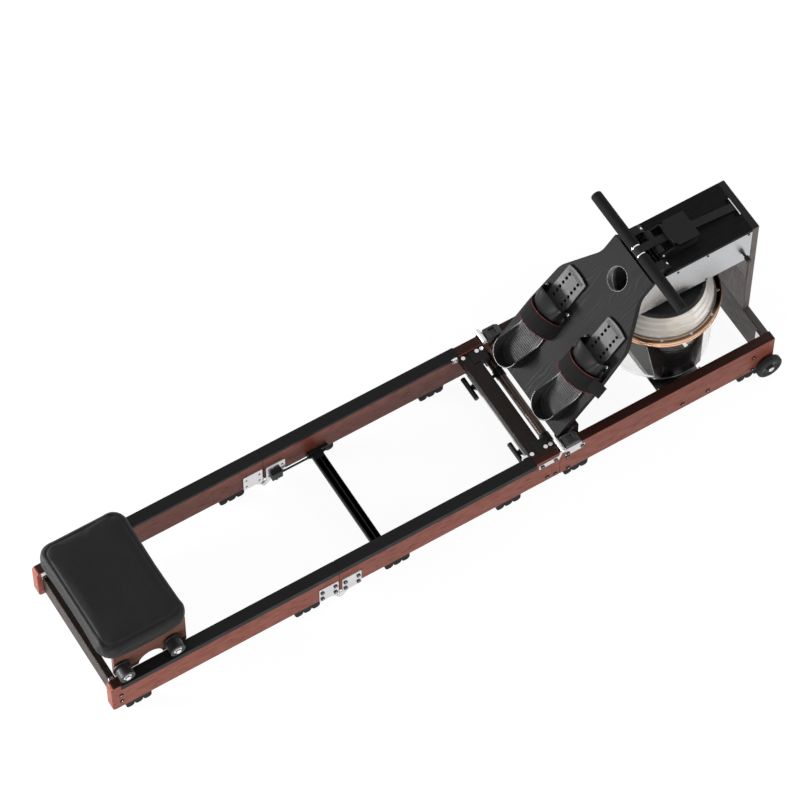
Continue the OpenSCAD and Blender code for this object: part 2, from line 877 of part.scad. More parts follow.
// The heel cup: a sole with a wall that falls towards the instep
module heel_cup(side) {
    color("#2c2c2c") on_foot(side) translate([0, 0, base_t + slide_gap]) {
        linear_extrude(sole_t) {
            heel_shape(heel_r, -306);
            polygon([
                [-307, -heel_r], [-297, -sole_w / 2], [-238, -sole_w / 2],
                [-238, sole_w / 2], [-297, sole_w / 2], [-307, heel_r]
            ]);
        }
        difference() {
            linear_extrude(wall_h) difference() {
                heel_shape(heel_r, -318);
                heel_shape(heel_r - 4, -310);
            }
            translate([heel_u + 52, 0, wall_h]) rotate([0, 32, 0]) block([0, -60, 0], [200, 60, 90]);
        }
    }
}

module heel_cup_left() {
    heel_cup(1);
}

module heel_cup_right() {
    heel_cup(-1);
}

// Drive housing

handle_x = board_top_x + 17;
handle_z = house_z + handle_rise;
guide_r = 13;
guide_x = handle_x + 51;
guide_z = handle_z + bar_r - guide_r;
slot_x = x_front - post_t - 9;
strap_gap = 0.5;
pulley_x = slot_x - pulley_r;
pulley_z = house_z - 40;
tank_x = x_front - tank_back;

module housing_lid() {
    x1 = x_front - post_t;
    color("#1f1d1d") difference() {
        block([x_front - lid_back, -house_half, house_z - lid_t], [x1, house_half, house_z]);
        block([slot_x - 3, -28, house_z - lid_t - 1], [slot_x + 5, 28, house_z + 1]);
    }
}

knob_x = x_front - 42;
knob_z = side_z0 + 31;
knob_stem_r = 4;

module housing_sides() {
    x1 = x_front - post_t;
    z1 = house_z - lid_t;
    color("#a9abad") both_sides() difference() {
        upright(-house_half, -house_half + side_t) polygon([
            [under_x(side_z0) + 0.5, side_z0], [x1 - 8, side_z0], [x1, side_z0 + 12],
            [x1, z1], [under_x(z1) + 0.5, z1]
        ]);
        bar_y(knob_x, -house_half - 1, -house_half + side_t + 1, knob_z, knob_stem_r + run_gap, small);
    }
}

// Knob of the recoil setting on the right side plate
module side_knob() {
    y0 = -house_half;
    y1 = -house_half + side_t;
    color("#222222") {
        bar_y(knob_x, y0 - 10, y1 + 4, knob_z, knob_stem_r, small);
        bar_y(knob_x, y1 + air, y1 + 4, knob_z, 8, small);
        bar_y(knob_x, y0 - 26, y0 - 9, knob_z, 7.5, 10);
    }
}

phone_x0 = x_front - 254;
phone_x1 = phone_x0 + 84;
phone_z = house_z + 33;
phone_pin = [phone_x0 + 5, phone_z - 5];
phone_pin_r = 3;
wall_y = 40;
guide_axle_r = 4;

// Rests for the handle at the lid's rear corners, and the stand of the roller and phone plate
module lid_fittings() {
    x0 = x_front - lid_back;
    color("#1b1b1b") {
        both_sides() {
            difference() {
                upright(-80, -52) polygon([
                    [handle_x + 3, house_z - 9], [x0, house_z - 9], [x0, house_z],
                    [x0 + 21, house_z], [x0 + 21, house_z + 7], [x0 + 5, house_z + 20],
                    [handle_x + 8, house_z + 20], [handle_x + 3, house_z + 10]
                ]);
                bar_y(handle_x, -90, 0, handle_z, grip_r + 0.8);
            }
            difference() {
                upright(-wall_y - 5, -wall_y) {
                    translate([guide_x, guide_z]) circle(r = 9, $fn = fine);
                    polygon([
                        [guide_x - 9, house_z], [phone_x1 - 6, house_z],
                        [phone_x1 - 6, house_z + 16], [phone_x0 + 18, house_z + 21],
                        [phone_x0 + 11, phone_z - 1], [phone_pin[0] - 5, phone_z - 1],
                        [guide_x + 7, guide_z + 5], [guide_x - 9, guide_z]
                    ]);
                }
                bar_y(phone_pin[0], -wall_y - 6, -wall_y + 1, phone_pin[1],
                    phone_pin_r + run_gap, small);
            }
        }
        block([guide_x + 20, -wall_y, house_z], [phone_x1 - 6, wall_y, house_z + 3]);
        bar_y(guide_x, -wall_y, wall_y, guide_z, guide_axle_r, small);
    }
}

module guide_roller() {
    color("#202020") difference() {
        bar_y(guide_x, -wall_y + 2, wall_y - 2, guide_z, guide_r);
        bar_y(guide_x, -wall_y, wall_y, guide_z, guide_axle_r + run_gap, small);
    }
}

// Tilting plate for a phone, with two lips at its lower edge
module phone_plate() {
    color("#2a2a2a") {
        block([phone_x0, -wall_y + air, phone_z], [phone_x0 + 15, wall_y - air, phone_z + 4]);
        block([phone_x0 + 14, -45, phone_z], [phone_x1, 45, phone_z + 4]);
        both_sides() {
            block([phone_x0, -36, phone_z + 3], [phone_x0 + 4, -22, phone_z + 13]);
            bar_y(phone_pin[0], -wall_y - 4.5, -wall_y + 8, phone_pin[1], phone_pin_r, small);
            block([phone_pin[0] - 3, -wall_y + air, phone_pin[1]],
                [phone_pin[0] + 3, -wall_y + 8, phone_z + 1]);
        }
    }
}

// Handle

module handle_bar() {
    y1 = handle_len / 2 - 5;
    color("#c0c0c0") {
        bar_y(handle_x, -y1, y1, handle_z, bar_r);
        both_sides() bar_y(handle_x, -17, -13, handle_z, grip_r - 0.6);
    }
}

module handle_grips() {
    y1 = handle_len / 2;
    color("#1d1d1d") both_sides() difference() {
        bar_y(handle_x, -y1, -17, handle_z, grip_r);
        bar_y(handle_x, -y1 + 5, -16, handle_z, bar_r + 0.1);
    }
}

// Tank

flange_t = ring_h / 2 - 4;
ring_mid = rail_z + ring_z;
ring_r = tank_r + ring_w;
bolt_ring_r = ring_r - 11;
floor_z = rail_z + tank_floor;
bowl_round = 40;
cover_z = ring_mid + 68;

module ring_holes(z0, z1) {
    for (i = [0:ring_bolts - 1]) translate([tank_x, 0, z0]) rotate(360 / ring_bolts * i)
        translate([bolt_ring_r, 0, 0]) cylinder(h = z1 - z0, r = 3.2, $fn = 16);
}

// Half section of a round bottomed pot, from the axis outwards
module pot_shape(r, z0, z1, round_r) {
    translate([0, z0]) square([r - round_r, z1 - z0]);
    translate([0, z0 + round_r]) square([r, z1 - z0 - round_r]);
    translate([r - round_r, z0 + round_r]) intersection() {
        circle(r = round_r, $fn = 64);
        translate([0, -round_r]) square([round_r, round_r]);
    }
}

module tank_bowl() {
    color("#dfe6e8", 0.5) difference() {
        translate([tank_x, 0, 0]) rotate_extrude($fn = 96) difference() {
            union() {
                pot_shape(tank_r, floor_z, ring_mid, bowl_round);
                translate([0, ring_mid - flange_t]) square([ring_r - 6, flange_t]);
            }
            pot_shape(tank_r - shell_t, floor_z + shell_t, ring_mid + 1, bowl_round - shell_t);
        }
        ring_holes(ring_mid - flange_t - 1, ring_mid + 1);
    }
}

// Stepped clear top: each point is its distance inside the tank's radius and its height
module tank_top() {
    t = shell_t - 1;
    steps = [[4, 21], [12, 27], [12, 39], [21, 46], [21, 56], [29, 62], [29, 68]];
    inner = [[4, 0], [4, 19], [12, 25], [12, 37], [21, 44], [21, 54], [29, 60], [29, 68]];
    color("#dfe6e8", 0.5) difference() {
        translate([tank_x, 0, ring_mid]) rotate_extrude($fn = 96) polygon(concat(
            [[ring_r - 6, 0], [ring_r - 6, flange_t], [tank_r - 4, flange_t]],
            [for (p = steps) [tank_r - p[0], p[1]]],
            [for (i = [len(inner) - 1:-1:0]) [tank_r - t - inner[i][0], inner[i][1]]]
        ));
        ring_holes(ring_mid - 1, ring_mid + flange_t + 1);
    }
}

shaft_r = 8;

module tank_cover() {
    r = tank_r - 29;
    color("#191919") translate([tank_x, 0, cover_z]) rotate_extrude($fn = 96) polygon([
        [shaft_r + 0.5, 0], [r, 0], [r, 6], [r - 8, 13], [70, 16], [44, 22], [44, 30],
        [30, 30], [30, 24], [shaft_r + 0.5, 24]
    ]);
}

// Copper clamp ring, a channel round both flanges
module clamp_ring() {
    h = ring_h / 2;
    color("#c98a5c") difference() {
        translate([tank_x, 0, ring_mid]) rotate_extrude($fn = 96) difference() {
            translate([ring_r - 16, -h]) square([16, ring_h]);
            translate([ring_r - 17, -flange_t]) square([11 + fit_gap, 2 * flange_t]);
            translate([ring_r - 2.5, -2]) square([5, 4]);
        }
        ring_holes(ring_mid - h - 1, ring_mid + h + 1);
    }
}

// Black band round the bowl with a scooped opening on each side, standing on the tray
module tank_cradle() {
    top = ring_mid - ring_h / 2 - 5;
    base = rail_z + 14;
    color("#171717") difference() {
        union() {
            intersection() {
                translate([tank_x, 0, 0]) rotate_extrude($fn = 96)
                    pot_shape(tank_r + 5, floor_z - 5, top, bowl_round + 5);
                upright(-tank_r - 20, tank_r + 20) polygon([
                    [tank_x - 117, top + 1], [tray_x0, floor_z - 6], [tray_x1 - 4, floor_z - 6],
                    [tank_x + 54, top + 1]
                ]);
            }
            block([tray_x0, -100, base], [tray_x1 - 4, 100, floor_z]);
        }
        translate([tank_x, 0, 0]) rotate_extrude($fn = 96)
            pot_shape(tank_r + fit_gap, floor_z, top + 1, bowl_round + fit_gap);
        bar_y(tank_x - 31, -tank_r - 20, tank_r + 20, top + 2, 58, 64);
        block([tray_x0 + 12, -82, base - 1], [tray_x1 - 16, 82, floor_z - 8]);
    }
}

// Steel tray between the rails with slotted, upturned ends
module tank_tray() {
    z0 = rail_z + 10;
    color("#2a2a2a") difference() {
        union() {
            block([tray_x0, -rail_in, z0], [tray_x1, rail_in, z0 + 4]);
            both_sides() {
                block([tray_x0, -rail_in, z0], [tray_x1, -rail_in + 4, z0 + 62]);
                for (x = [tray_x0, tray_x1 - 4])
                    block([x, -rail_in, z0], [x + 4, -rail_in + 44, z0 + 26]);
            }
        }
        both_sides() translate([0, -rail_in + 24, z0 - 1]) linear_extrude(6)
            soft_rect(tray_x0 + 50, -6, tray_x1 - 50, 6, 5);
    }
}

// Clamp bolts of the ring with their nuts
module ring_bolts_and_nuts() {
    h = ring_h / 2;
    color("#d0d0d0") for (i = [0:ring_bolts - 1])
        translate([tank_x, 0, ring_mid]) rotate(360 / ring_bolts * i) translate([bolt_ring_r, 0, 0]) {
            translate([0, 0, -h - 3]) cylinder(h = ring_h + 6, r = 2.9, $fn = 16);
            translate([0, 0, h]) cylinder(h = 3.5, r = 5, $fn = 6);
            translate([0, 0, -h - 4]) cylinder(h = 4, r = 5, $fn = 6);
        }
}

// Drive inside the housing

drum_z0 = side_z0 + 36;
drum_h = strap_w + 8;
bridge_lo = side_z0 + 12;
bridge_hi = drum_z0 + drum_h + 18;
bridge_half = house_half - side_t;

module impeller() {
    z0 = floor_z + 22;
    color("#d8c39a") translate([tank_x, 0, 0]) {
        bar_z(0, 0, z0, bridge_hi + 8, shaft_r);
        bar_z(0, 0, z0 + 14, z0 + 96, 17);
        for (a = [0:60:300]) rotate(a) {
            block([14, -1.5, z0 + 18], [104, 1.5, z0 + 92]);
            translate([103, 0, 0]) rotate(-28) block([0, -1.5, z0 + 18], [22, 1.5, z0 + 92]);
        }
    }
}

module strap_drum() {
    color("#303030") translate([tank_x, 0, drum_z0]) difference() {
        union() {
            cylinder(h = drum_h, r = drum_r, $fn = 64);
            for (z = [0, drum_h - 2.4])
                translate([0, 0, z]) cylinder(h = 2.4, r = drum_r + 5, $fn = 64);
        }
        translate([0, 0, -1]) cylinder(h = drum_h + 2, r = shaft_r + 0.02, $fn = fine);
    }
}

// Bearing bridges, recoil spring case, pulley bracket and the bright rim of the slot
module drive_frame() {
    x0 = tank_x - 45;
    x1 = tank_x + 45;
    lid_z = house_z - lid_t;
    color("#8d8f92") {
        difference() {
            union() {
                block([x0, -bridge_half, bridge_lo], [x1, bridge_half, bridge_lo + 5]);
                block([x0, -bridge_half, bridge_hi], [x1, bridge_half, bridge_hi + 5]);
                both_sides() {
                    block([x0, -bridge_half, bridge_lo], [x1, -bridge_half + 3, bridge_lo + 16]);
                    block([x0, -bridge_half, bridge_hi - 12], [x1, -bridge_half + 3, bridge_hi + 5]);
                }
                bar_z(tank_x, 0, bridge_lo - 4, bridge_lo + 14, 20);
                bar_z(tank_x, 0, drum_z0 + drum_h + 3, bridge_hi + 1, 36);
            }
            bar_z(tank_x, 0, bridge_lo - 9, bridge_hi + 9, shaft_r + run_gap);
        }
        both_sides() upright(-24, -20) {
            translate([pulley_x, pulley_z]) circle(r = 12, $fn = fine);
            translate([pulley_x - 12, pulley_z]) square([24, lid_z - pulley_z]);
        }
        both_sides() block([pulley_x - 12, -34, lid_z - 3], [pulley_x + 12, -20, lid_z]);
        bar_y(pulley_x, -24, 24, pulley_z, 4);
        difference() {
            block([slot_x - 6, -31, house_z], [slot_x + 8, 31, house_z + 2.5]);
            block([slot_x - 3, -28, house_z - 1], [slot_x + 5, 28, house_z + 4]);
        }
    }
}

module strap_pulley() {
    color("#2b2b2b") difference() {
        union() {
            bar_y(pulley_x, -16, 16, pulley_z, pulley_r);
            both_sides() bar_y(pulley_x, -19, -15, pulley_z, pulley_r + 3);
        }
        bar_y(pulley_x, -20, 20, pulley_z, 4 + run_gap);
    }
}

// The strap as a row of cross sections. Each station has a middle, the direction of its
// outer face and the direction of its width.

half_t = strap_t / 2;
rim_r = 3.2;
rim_at = [slot_x - rim_r, house_z];
run_a = atan2(rim_at[1] - guide_z, rim_at[0] - guide_x)
    - asin((guide_r - rim_r) / norm(rim_at - [guide_x, guide_z]));

// A station on a circle in the X-Z plane
function turn(c, r, a) = [
    [c[0] + (r + half_t) * cos(a), 0, c[1] + (r + half_t) * sin(a)], [cos(a), 0, sin(a)], [0, 1, 0]
];

// A station on the drum, at an angle round the vertical axis
function wind(a) = [
    [
        tank_x + (drum_r + strap_gap + half_t) * cos(a), (drum_r + strap_gap + half_t) * sin(a),
        drum_z0 + drum_h / 2
    ],
    [cos(a), sin(a), 0], [0, 0, 1]
];

twist_from = turn([pulley_x, pulley_z], pulley_r + strap_gap, -90)[0];
twist_to = wind(90)[0];
function ease(t) = t * t * (3 - 2 * t);
function twisted(t) = [
    [
        twist_from[0] + (twist_to[0] - twist_from[0]) * t,
        twist_to[1] * ease(t), twist_from[2] + (twist_to[2] - twist_from[2]) * ease(t)
    ],
    [0, sin(90 * ease(t)), -cos(90 * ease(t))], [0, cos(90 * ease(t)), sin(90 * ease(t))]
];

stations = concat(
    [for (a = [50:-20:-250]) turn([handle_x, handle_z], bar_r + strap_gap, a)],
    [turn([handle_x, handle_z], bar_r + strap_gap, -270)],
    [turn([guide_x, guide_z], guide_r + strap_gap, 90)],
    [turn([guide_x, guide_z], guide_r + strap_gap, 90 + run_a)],
    [for (a = [90 + run_a, 60, 40, 20, 0]) turn(rim_at, rim_r + strap_gap, a)],
    [for (a = [0:-15:-90]) turn([pulley_x, pulley_z], pulley_r + strap_gap, a)],
    [for (i = [1:9]) twisted(i / 10)],
    [for (a = [90:15:330]) wind(a)]
);

module drive_strap() {
    n = len(stations);
    corners = [for (s = stations, q = [[-1, -1], [1, -1], [1, 1], [-1, 1]])
        s[0] + q[0] * half_t * s[1] + q[1] * strap_w / 2 * s[2]];
    sides = [for (i = [0:n - 2], k = [0:3])
        [4 * i + k, 4 * i + (k + 1) % 4, 4 * i + 4 + (k + 1) % 4, 4 * i + 4 + k]];
    tris = [for (i = [0:len(sides) - 1], h = i % 4 == 3 ? [[0, 1, 3], [1, 2, 3]] : [[0, 1, 2], [0, 2, 3]])
        [sides[i][h[0]], sides[i][h[1]], sides[i][h[2]]]];
    e = 4 * n;
    color("#151515") polyhedron(
        corners, concat(tris, [[3, 2, 1], [3, 1, 0], [e - 4, e - 3, e - 2], [e - 4, e - 2, e - 1]])
    );
}

// Seat

axle_z = rail_top + roller_r + fit_gap;
rear_axle_x = x_rear + 55;
front_axle_x = rear_axle_x + roller_base;
seat_travel = x_split - 103.5 - front_axle_x - flange_r - 1.5;
board_y = 180;
pad_z = rail_top + pad_lift;
tread_y1 = rail_out - 1;

module rollers(x) {
    y0 = tread_y1 - roller_w;
    color("#262626") both_sides() difference() {
        union() {
            bar_y(x, -tread_y1, -y0, axle_z, roller_r);
            bar_y(x, -y0 - 1, -cap_in + 1, axle_z, roller_r - 3);
            bar_y(x, -cap_in + 1, -cap_in + 5, axle_z, flange_r);
        }
        bar_y(x, -tread_y1 - 1, -cap_in + 6, axle_z, axle_r + run_gap);
        bar_y(x, -tread_y1 - 1, -tread_y1 + 4, axle_z, 13);
    }
}

module rollers_front() {
    rollers(front_axle_x);
}

module rollers_rear() {
    rollers(rear_axle_x);
}

module seat_axles() {
    color("#cfcfcf") for (x = [rear_axle_x, front_axle_x]) {
        bar_y(x, -tread_y1 - 2, tread_y1 + 2, axle_z, axle_r);
        both_sides() {
            bar_y(x, -tread_y1 - 4, -tread_y1 + 3.5, axle_z, 8, small);
            bar_y(x, -board_y - 4, -board_y, axle_z, 8, small);
        }
    }
}

// Carriage under the pad: a deck, two side boards and keepers below the cap's inner lip
module seat_carriage() {
    x0 = x_rear + 36;
    x1 = x_rear + 261;
    keeper_z = rail_top - cap_lip_in - 1;
    color("#5b3a2c") {
        block([x0, -board_y, pad_z - 10], [x1, board_y, pad_z]);
        both_sides() {
            difference() {
                upright(-board_y, -board_y + 14) difference() {
                    translate([x0, rail_top - 22]) square([x1 - x0, pad_z - 10 - rail_top + 22]);
                    translate([x0 + (x1 - x0) / 2, rail_top - 24]) circle(r = 38, $fn = 64);
                }
                for (x = [rear_axle_x, front_axle_x])
                    bar_y(x, -board_y - 1, -board_y + 15, axle_z, axle_r + fit_gap);
            }
            for (x = [x0 + 5, x1 - 30])
                block([x, -rail_in + 1, keeper_z - 4], [x + 25, -board_y + 5, keeper_z]);
        }
        for (x = [x0 + 14, x1 - 30])
            block([x, -board_y + 14, pad_z - 46], [x + 16, board_y - 14, pad_z - 10]);
    }
}

// The pad as rings: how far each is drawn in, and its height
pad_rings = [
    [9, 0], [3, 5], [0.5, 13], [0, 24], [1.5, 33], [6, 41], [12, 45], [18, 45.5], [24, 44],
    [36, 45], [66, 46.5], [100, 47.5]
];
// Points on each quarter of a ring: the corner's arc, then the edge
pad_k = 18;
pad_n = 4 * pad_k;

// A point on a ring: a rounded rectangle with a slight waist at its long edges
function pad_point(i, inset, z) = let(
    r = max(pad_r - inset, 16),
    cx = pad_len / 2 - inset - r,
    cy = pad_w / 2 - inset - r,
    side = floor(i / pad_k),
    m = i % pad_k,
    p0 = pad_corner(side, min(m, 12) * 7.5, cx, cy, r),
    p1 = pad_corner(side + 1, 0, cx, cy, r),
    t = max(m - 12, 0) / (pad_k - 12),
    x = p0[0] + (p1[0] - p0[0]) * t,
    y = p0[1] + (p1[1] - p0[1]) * t,
    waist = abs(y) < cy ? pad_waist * (1 - pow(y / cy, 2)) : 0
) [x - sign(x) * waist, y, z];

function pad_corner(k, a, cx, cy, r) = let(
    sx = k % 4 == 0 || k % 4 == 3 ? 1 : -1,
    sy = k % 4 < 2 ? 1 : -1
) [sx * cx + r * cos(90 * k + a), sy * cy + r * sin(90 * k + a)];

module seat_pad() {
    rings = len(pad_rings);
    points = [for (r = pad_rings, i = [0:pad_n - 1])
        pad_point(i, r[0], r[1] * pad_t / 45)];
    sides = [for (j = [0:rings - 2], i = [0:pad_n - 1], k = [0, 1]) let(
        a = j * pad_n + i,
        b = j * pad_n + (i + 1) % pad_n
    ) k == 0 ? [a, a + pad_n, b] : [b, a + pad_n, b + pad_n]];
    low = [for (i = [1:pad_n - 2]) [0, i, i + 1]];
    top = (rings - 1) * pad_n;
    high = [for (i = [1:pad_n - 2]) [top, top + i + 1, top + i]];
    color("#2e2e2e") translate([x_rear + pad_len / 2, 0, pad_z])
        polyhedron(points, concat(sides, low, high));
}

base_rails();
front_post();
cross_board();
locking_tube();
tube_collars();
housing_lid();
housing_sides();
lid_fittings();
footboard();
board_cleats();
tank_bowl();
tank_top();
tank_cover();
clamp_ring();
tank_cradle();
tank_tray();
drive_frame();
drive_strap();
front_hinge_base();
hinge_covers();
foot_brackets();
foot_straps();
base_feet();
base_fixings();
strap_pulley();
guide_roller();
impeller();
strap_drum();
wheel_left();
wheel_right();
sole_left();
sole_right();
heel_cup_left();
heel_cup_right();
handle_bar();
handle_grips();
phone_plate();
side_knob();
mid_rails();
mid_caps();
mid_plank();
front_hinge_mid();
mid_hinge_front();
latch_guides();
release_bar();
locking_pin_left();
locking_pin_right();
mid_feet();
mid_fixings();
rear_rails();
rear_caps();
rear_crossbar();
mid_hinge_rear();
rear_feet();
rear_fixings();
seat_pad();
seat_carriage();
seat_axles();
rollers_front();
rollers_rear();
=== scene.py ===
"""Looks of the folding water rowing machine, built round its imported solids."""

import math

import bmesh
import bpy
from bpy.props import FloatProperty, FloatVectorProperty, PointerProperty
from mathutils import Matrix, Quaternion, Vector


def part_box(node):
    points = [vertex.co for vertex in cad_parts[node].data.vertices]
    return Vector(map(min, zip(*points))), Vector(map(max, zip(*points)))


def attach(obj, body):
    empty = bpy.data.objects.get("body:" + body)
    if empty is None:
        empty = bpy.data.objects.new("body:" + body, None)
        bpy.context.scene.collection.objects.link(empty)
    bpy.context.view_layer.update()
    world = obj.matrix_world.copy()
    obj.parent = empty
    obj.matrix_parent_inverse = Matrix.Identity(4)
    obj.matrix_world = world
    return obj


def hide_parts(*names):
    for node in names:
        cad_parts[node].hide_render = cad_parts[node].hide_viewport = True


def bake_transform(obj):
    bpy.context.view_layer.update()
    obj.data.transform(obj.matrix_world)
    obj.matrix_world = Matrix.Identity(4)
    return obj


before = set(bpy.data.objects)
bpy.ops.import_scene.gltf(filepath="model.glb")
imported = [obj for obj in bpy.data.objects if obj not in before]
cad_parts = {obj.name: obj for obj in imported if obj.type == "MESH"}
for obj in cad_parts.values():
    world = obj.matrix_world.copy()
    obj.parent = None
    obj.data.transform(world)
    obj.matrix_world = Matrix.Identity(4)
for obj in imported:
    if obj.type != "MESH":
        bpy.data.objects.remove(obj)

bl_info = {
    "name": "Water rowing machine",
    "version": (1, 0, 0),
    "blender": (4, 5, 0),
    "location": "3D View > Sidebar > Rower",
    "description": "Finishes and soft pieces of a folding water rowing machine",
    "category": "Object",
}

MM = 0.001
UP, ACROSS = Vector((0, 0, 1)), Vector((0, 1, 0))
WELD = 0.00001  # metres within which doubled points are one
SIDES = ((1, "left"), (-1, "right"))

# Where the parts lie, in millimetres, as in the solids
X_REAR, X_FRONT = -1091.5, 1074.5
RAIL_OUT, RAIL_TOP, LID_TOP = 223.5, 153, 563
TANK_X, RING_R = X_FRONT - 261, 178
WHEEL_AT = (X_FRONT - 24, 45)
HOLE_AT, HOLE_R = (665.72, 0, 502.482), 36
SOLE_Y = 100.5

# Centres, [x, z], and radii of what the drive strap runs over; the drum stands upright
HANDLE_AT, GUIDE_AT, ROUND_R = (733.5, 583), (784.5, 583), 14.3
RIM_AT, RIM_R = (1040.3, 563), 4.5
PULLEY_AT, PULLEY_R = (1021.5, 523), 23.3
DRUM_Z, DRUM_R = 470, 33.3


def mm(*v):
    """A point or size given in millimetres, in metres."""
    return Vector(v) * MM


# Modelling helpers


def object_mode():
    bpy.ops.object.mode_set(mode="OBJECT")


def select_only(*objs):
    """Leave edit mode and select these objects alone, the last one active."""
    if bpy.context.mode != "OBJECT":
        object_mode()
    bpy.ops.object.select_all(action="DESELECT")
    for o in objs:
        o.select_set(True)
        bpy.context.view_layer.objects.active = o


def pick(obj, faces=None, edges=None, verts=None):
    """In edit mode, select the faces, edges or corners that a test accepts."""
    if bpy.context.mode != "EDIT_MESH":
        select_only(obj)
        bpy.ops.object.mode_set(mode="EDIT")
    bpy.ops.mesh.select_all(action="DESELECT")
    kind = "FACE" if faces else "EDGE" if edges else "VERT"
    bpy.ops.mesh.select_mode(type=kind)
    bm = bmesh.from_edit_mesh(obj.data)
    for group, test in ((bm.faces, faces), (bm.edges, edges), (bm.verts, verts)):
        if test:
            for item in group:
                item.select_set(test(item))
    bm.select_flush_mode()
    bmesh.update_edit_mesh(obj.data)


def pick_all(obj):
    """In edit mode, select the whole mesh."""
    select_only(obj)
    bpy.ops.object.mode_set(mode="EDIT")
    bpy.ops.mesh.select_all(action="SELECT")


def new_object(name, data):
    """An object of this data, linked to the scene."""
    obj = bpy.data.objects.new(name, data)
    bpy.context.scene.collection.objects.link(obj)
    return obj


def inset_top(obj, *steps):
    """Inset the top face step by step, each by a thickness and a depth."""
    pick(obj, faces=lambda face: face.normal.z > 0.9)
    for thickness, depth in steps:
        bpy.ops.mesh.inset(thickness=thickness, depth=depth)
    object_mode()


def add_cylinder(radius, depth, sides=24, at=(0, 0, 0)):
    """A cylinder along Z that starts at a height and grows upwards."""
    select_only()
    place = Vector(at) + UP * depth / 2
    bpy.ops.mesh.primitive_cylinder_add(vertices=sides, radius=radius, depth=depth, location=place)
    bpy.ops.object.transform_apply()
    return bpy.context.object


def add_box(size, at=(0, 0, 0)):
    select_only()
    bpy.ops.mesh.primitive_cube_add(size=1, location=at, scale=size)
    bpy.ops.object.transform_apply()
    return bpy.context.object


def add_modifier(obj, kind, **settings):
    m = obj.modifiers.new(kind.title(), kind)
    for key, value in settings.items():
        setattr(m, key, value)
    return m


def apply_modifier(obj, kind, **settings):
    select_only(obj)
    bpy.ops.object.modifier_apply(modifier=add_modifier(obj, kind, **settings).name)


def cut(obj, cutter):
    """Take the cutter's shape out of the piece."""
    apply_modifier(obj, "BOOLEAN", operation="DIFFERENCE", object=cutter, solver="EXACT")
    bpy.data.objects.remove(cutter, do_unlink=True)


def join(*objs):
    select_only(*objs)
    bpy.ops.object.join()
    return bpy.context.object


def copies(template, places):
    """One mesh of copies of the template; each place is a point and the way its +Z points."""
    made = []
    for at, direction in places:
        o = new_object(template.name, template.data.copy())
        turn = Vector(direction).to_track_quat("Z", "Y").to_matrix().to_4x4()
        o.matrix_world = Matrix.Translation(at) @ turn
        made.append(o)
    bpy.data.objects.remove(template, do_unlink=True)
    whole = join(*made)
    bpy.ops.object.transform_apply()
    return whole


def outwards(obj):
    """Close doubled points and turn every face outwards."""
    pick_all(obj)
    bpy.ops.mesh.remove_doubles(threshold=WELD)
    bpy.ops.mesh.normals_make_consistent(inside=False)
    object_mode()


def settle(obj, name, body, finish, angle=35):
    """Name a piece, give it its material and let it ride on its body, if it has one."""
    select_only(obj)
    bpy.ops.object.transform_apply()
    bpy.ops.object.shade_smooth_by_angle(angle=math.radians(angle))
    obj.name = obj.data.name = name
    obj.data.materials.clear()
    obj.data.materials.append(FINISHES[finish])
    if body:
        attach(obj, body)
    return obj


def board_matrix(side=0):
    """From the footboard's own frame, or one foot's, to the machine's, in metres."""
    angle = bpy.context.scene.rower_sizes.board_angle
    turn = Matrix.Rotation(-angle, 4, "Y")
    shift = Matrix.Translation(mm(0, side * SOLE_Y, 0))
    return Matrix.Translation(mm(*HOLE_AT)) @ turn @ shift


# Finishes

FINISHES = {}  # this script's materials; some of the frame's own bear the same names


def add_node(tree, kind, inputs=None, **settings):
    """A shader node; each input is a value, or a socket to link it to."""
    n = tree.nodes.new("ShaderNode" + kind)
    for key, value in settings.items():
        setattr(n, key, value)
    for key, value in (inputs or {}).items():
        if isinstance(value, bpy.types.NodeSocket):
            tree.links.new(value, n.inputs[key])
        else:
            n.inputs[key].default_value = value
    return n


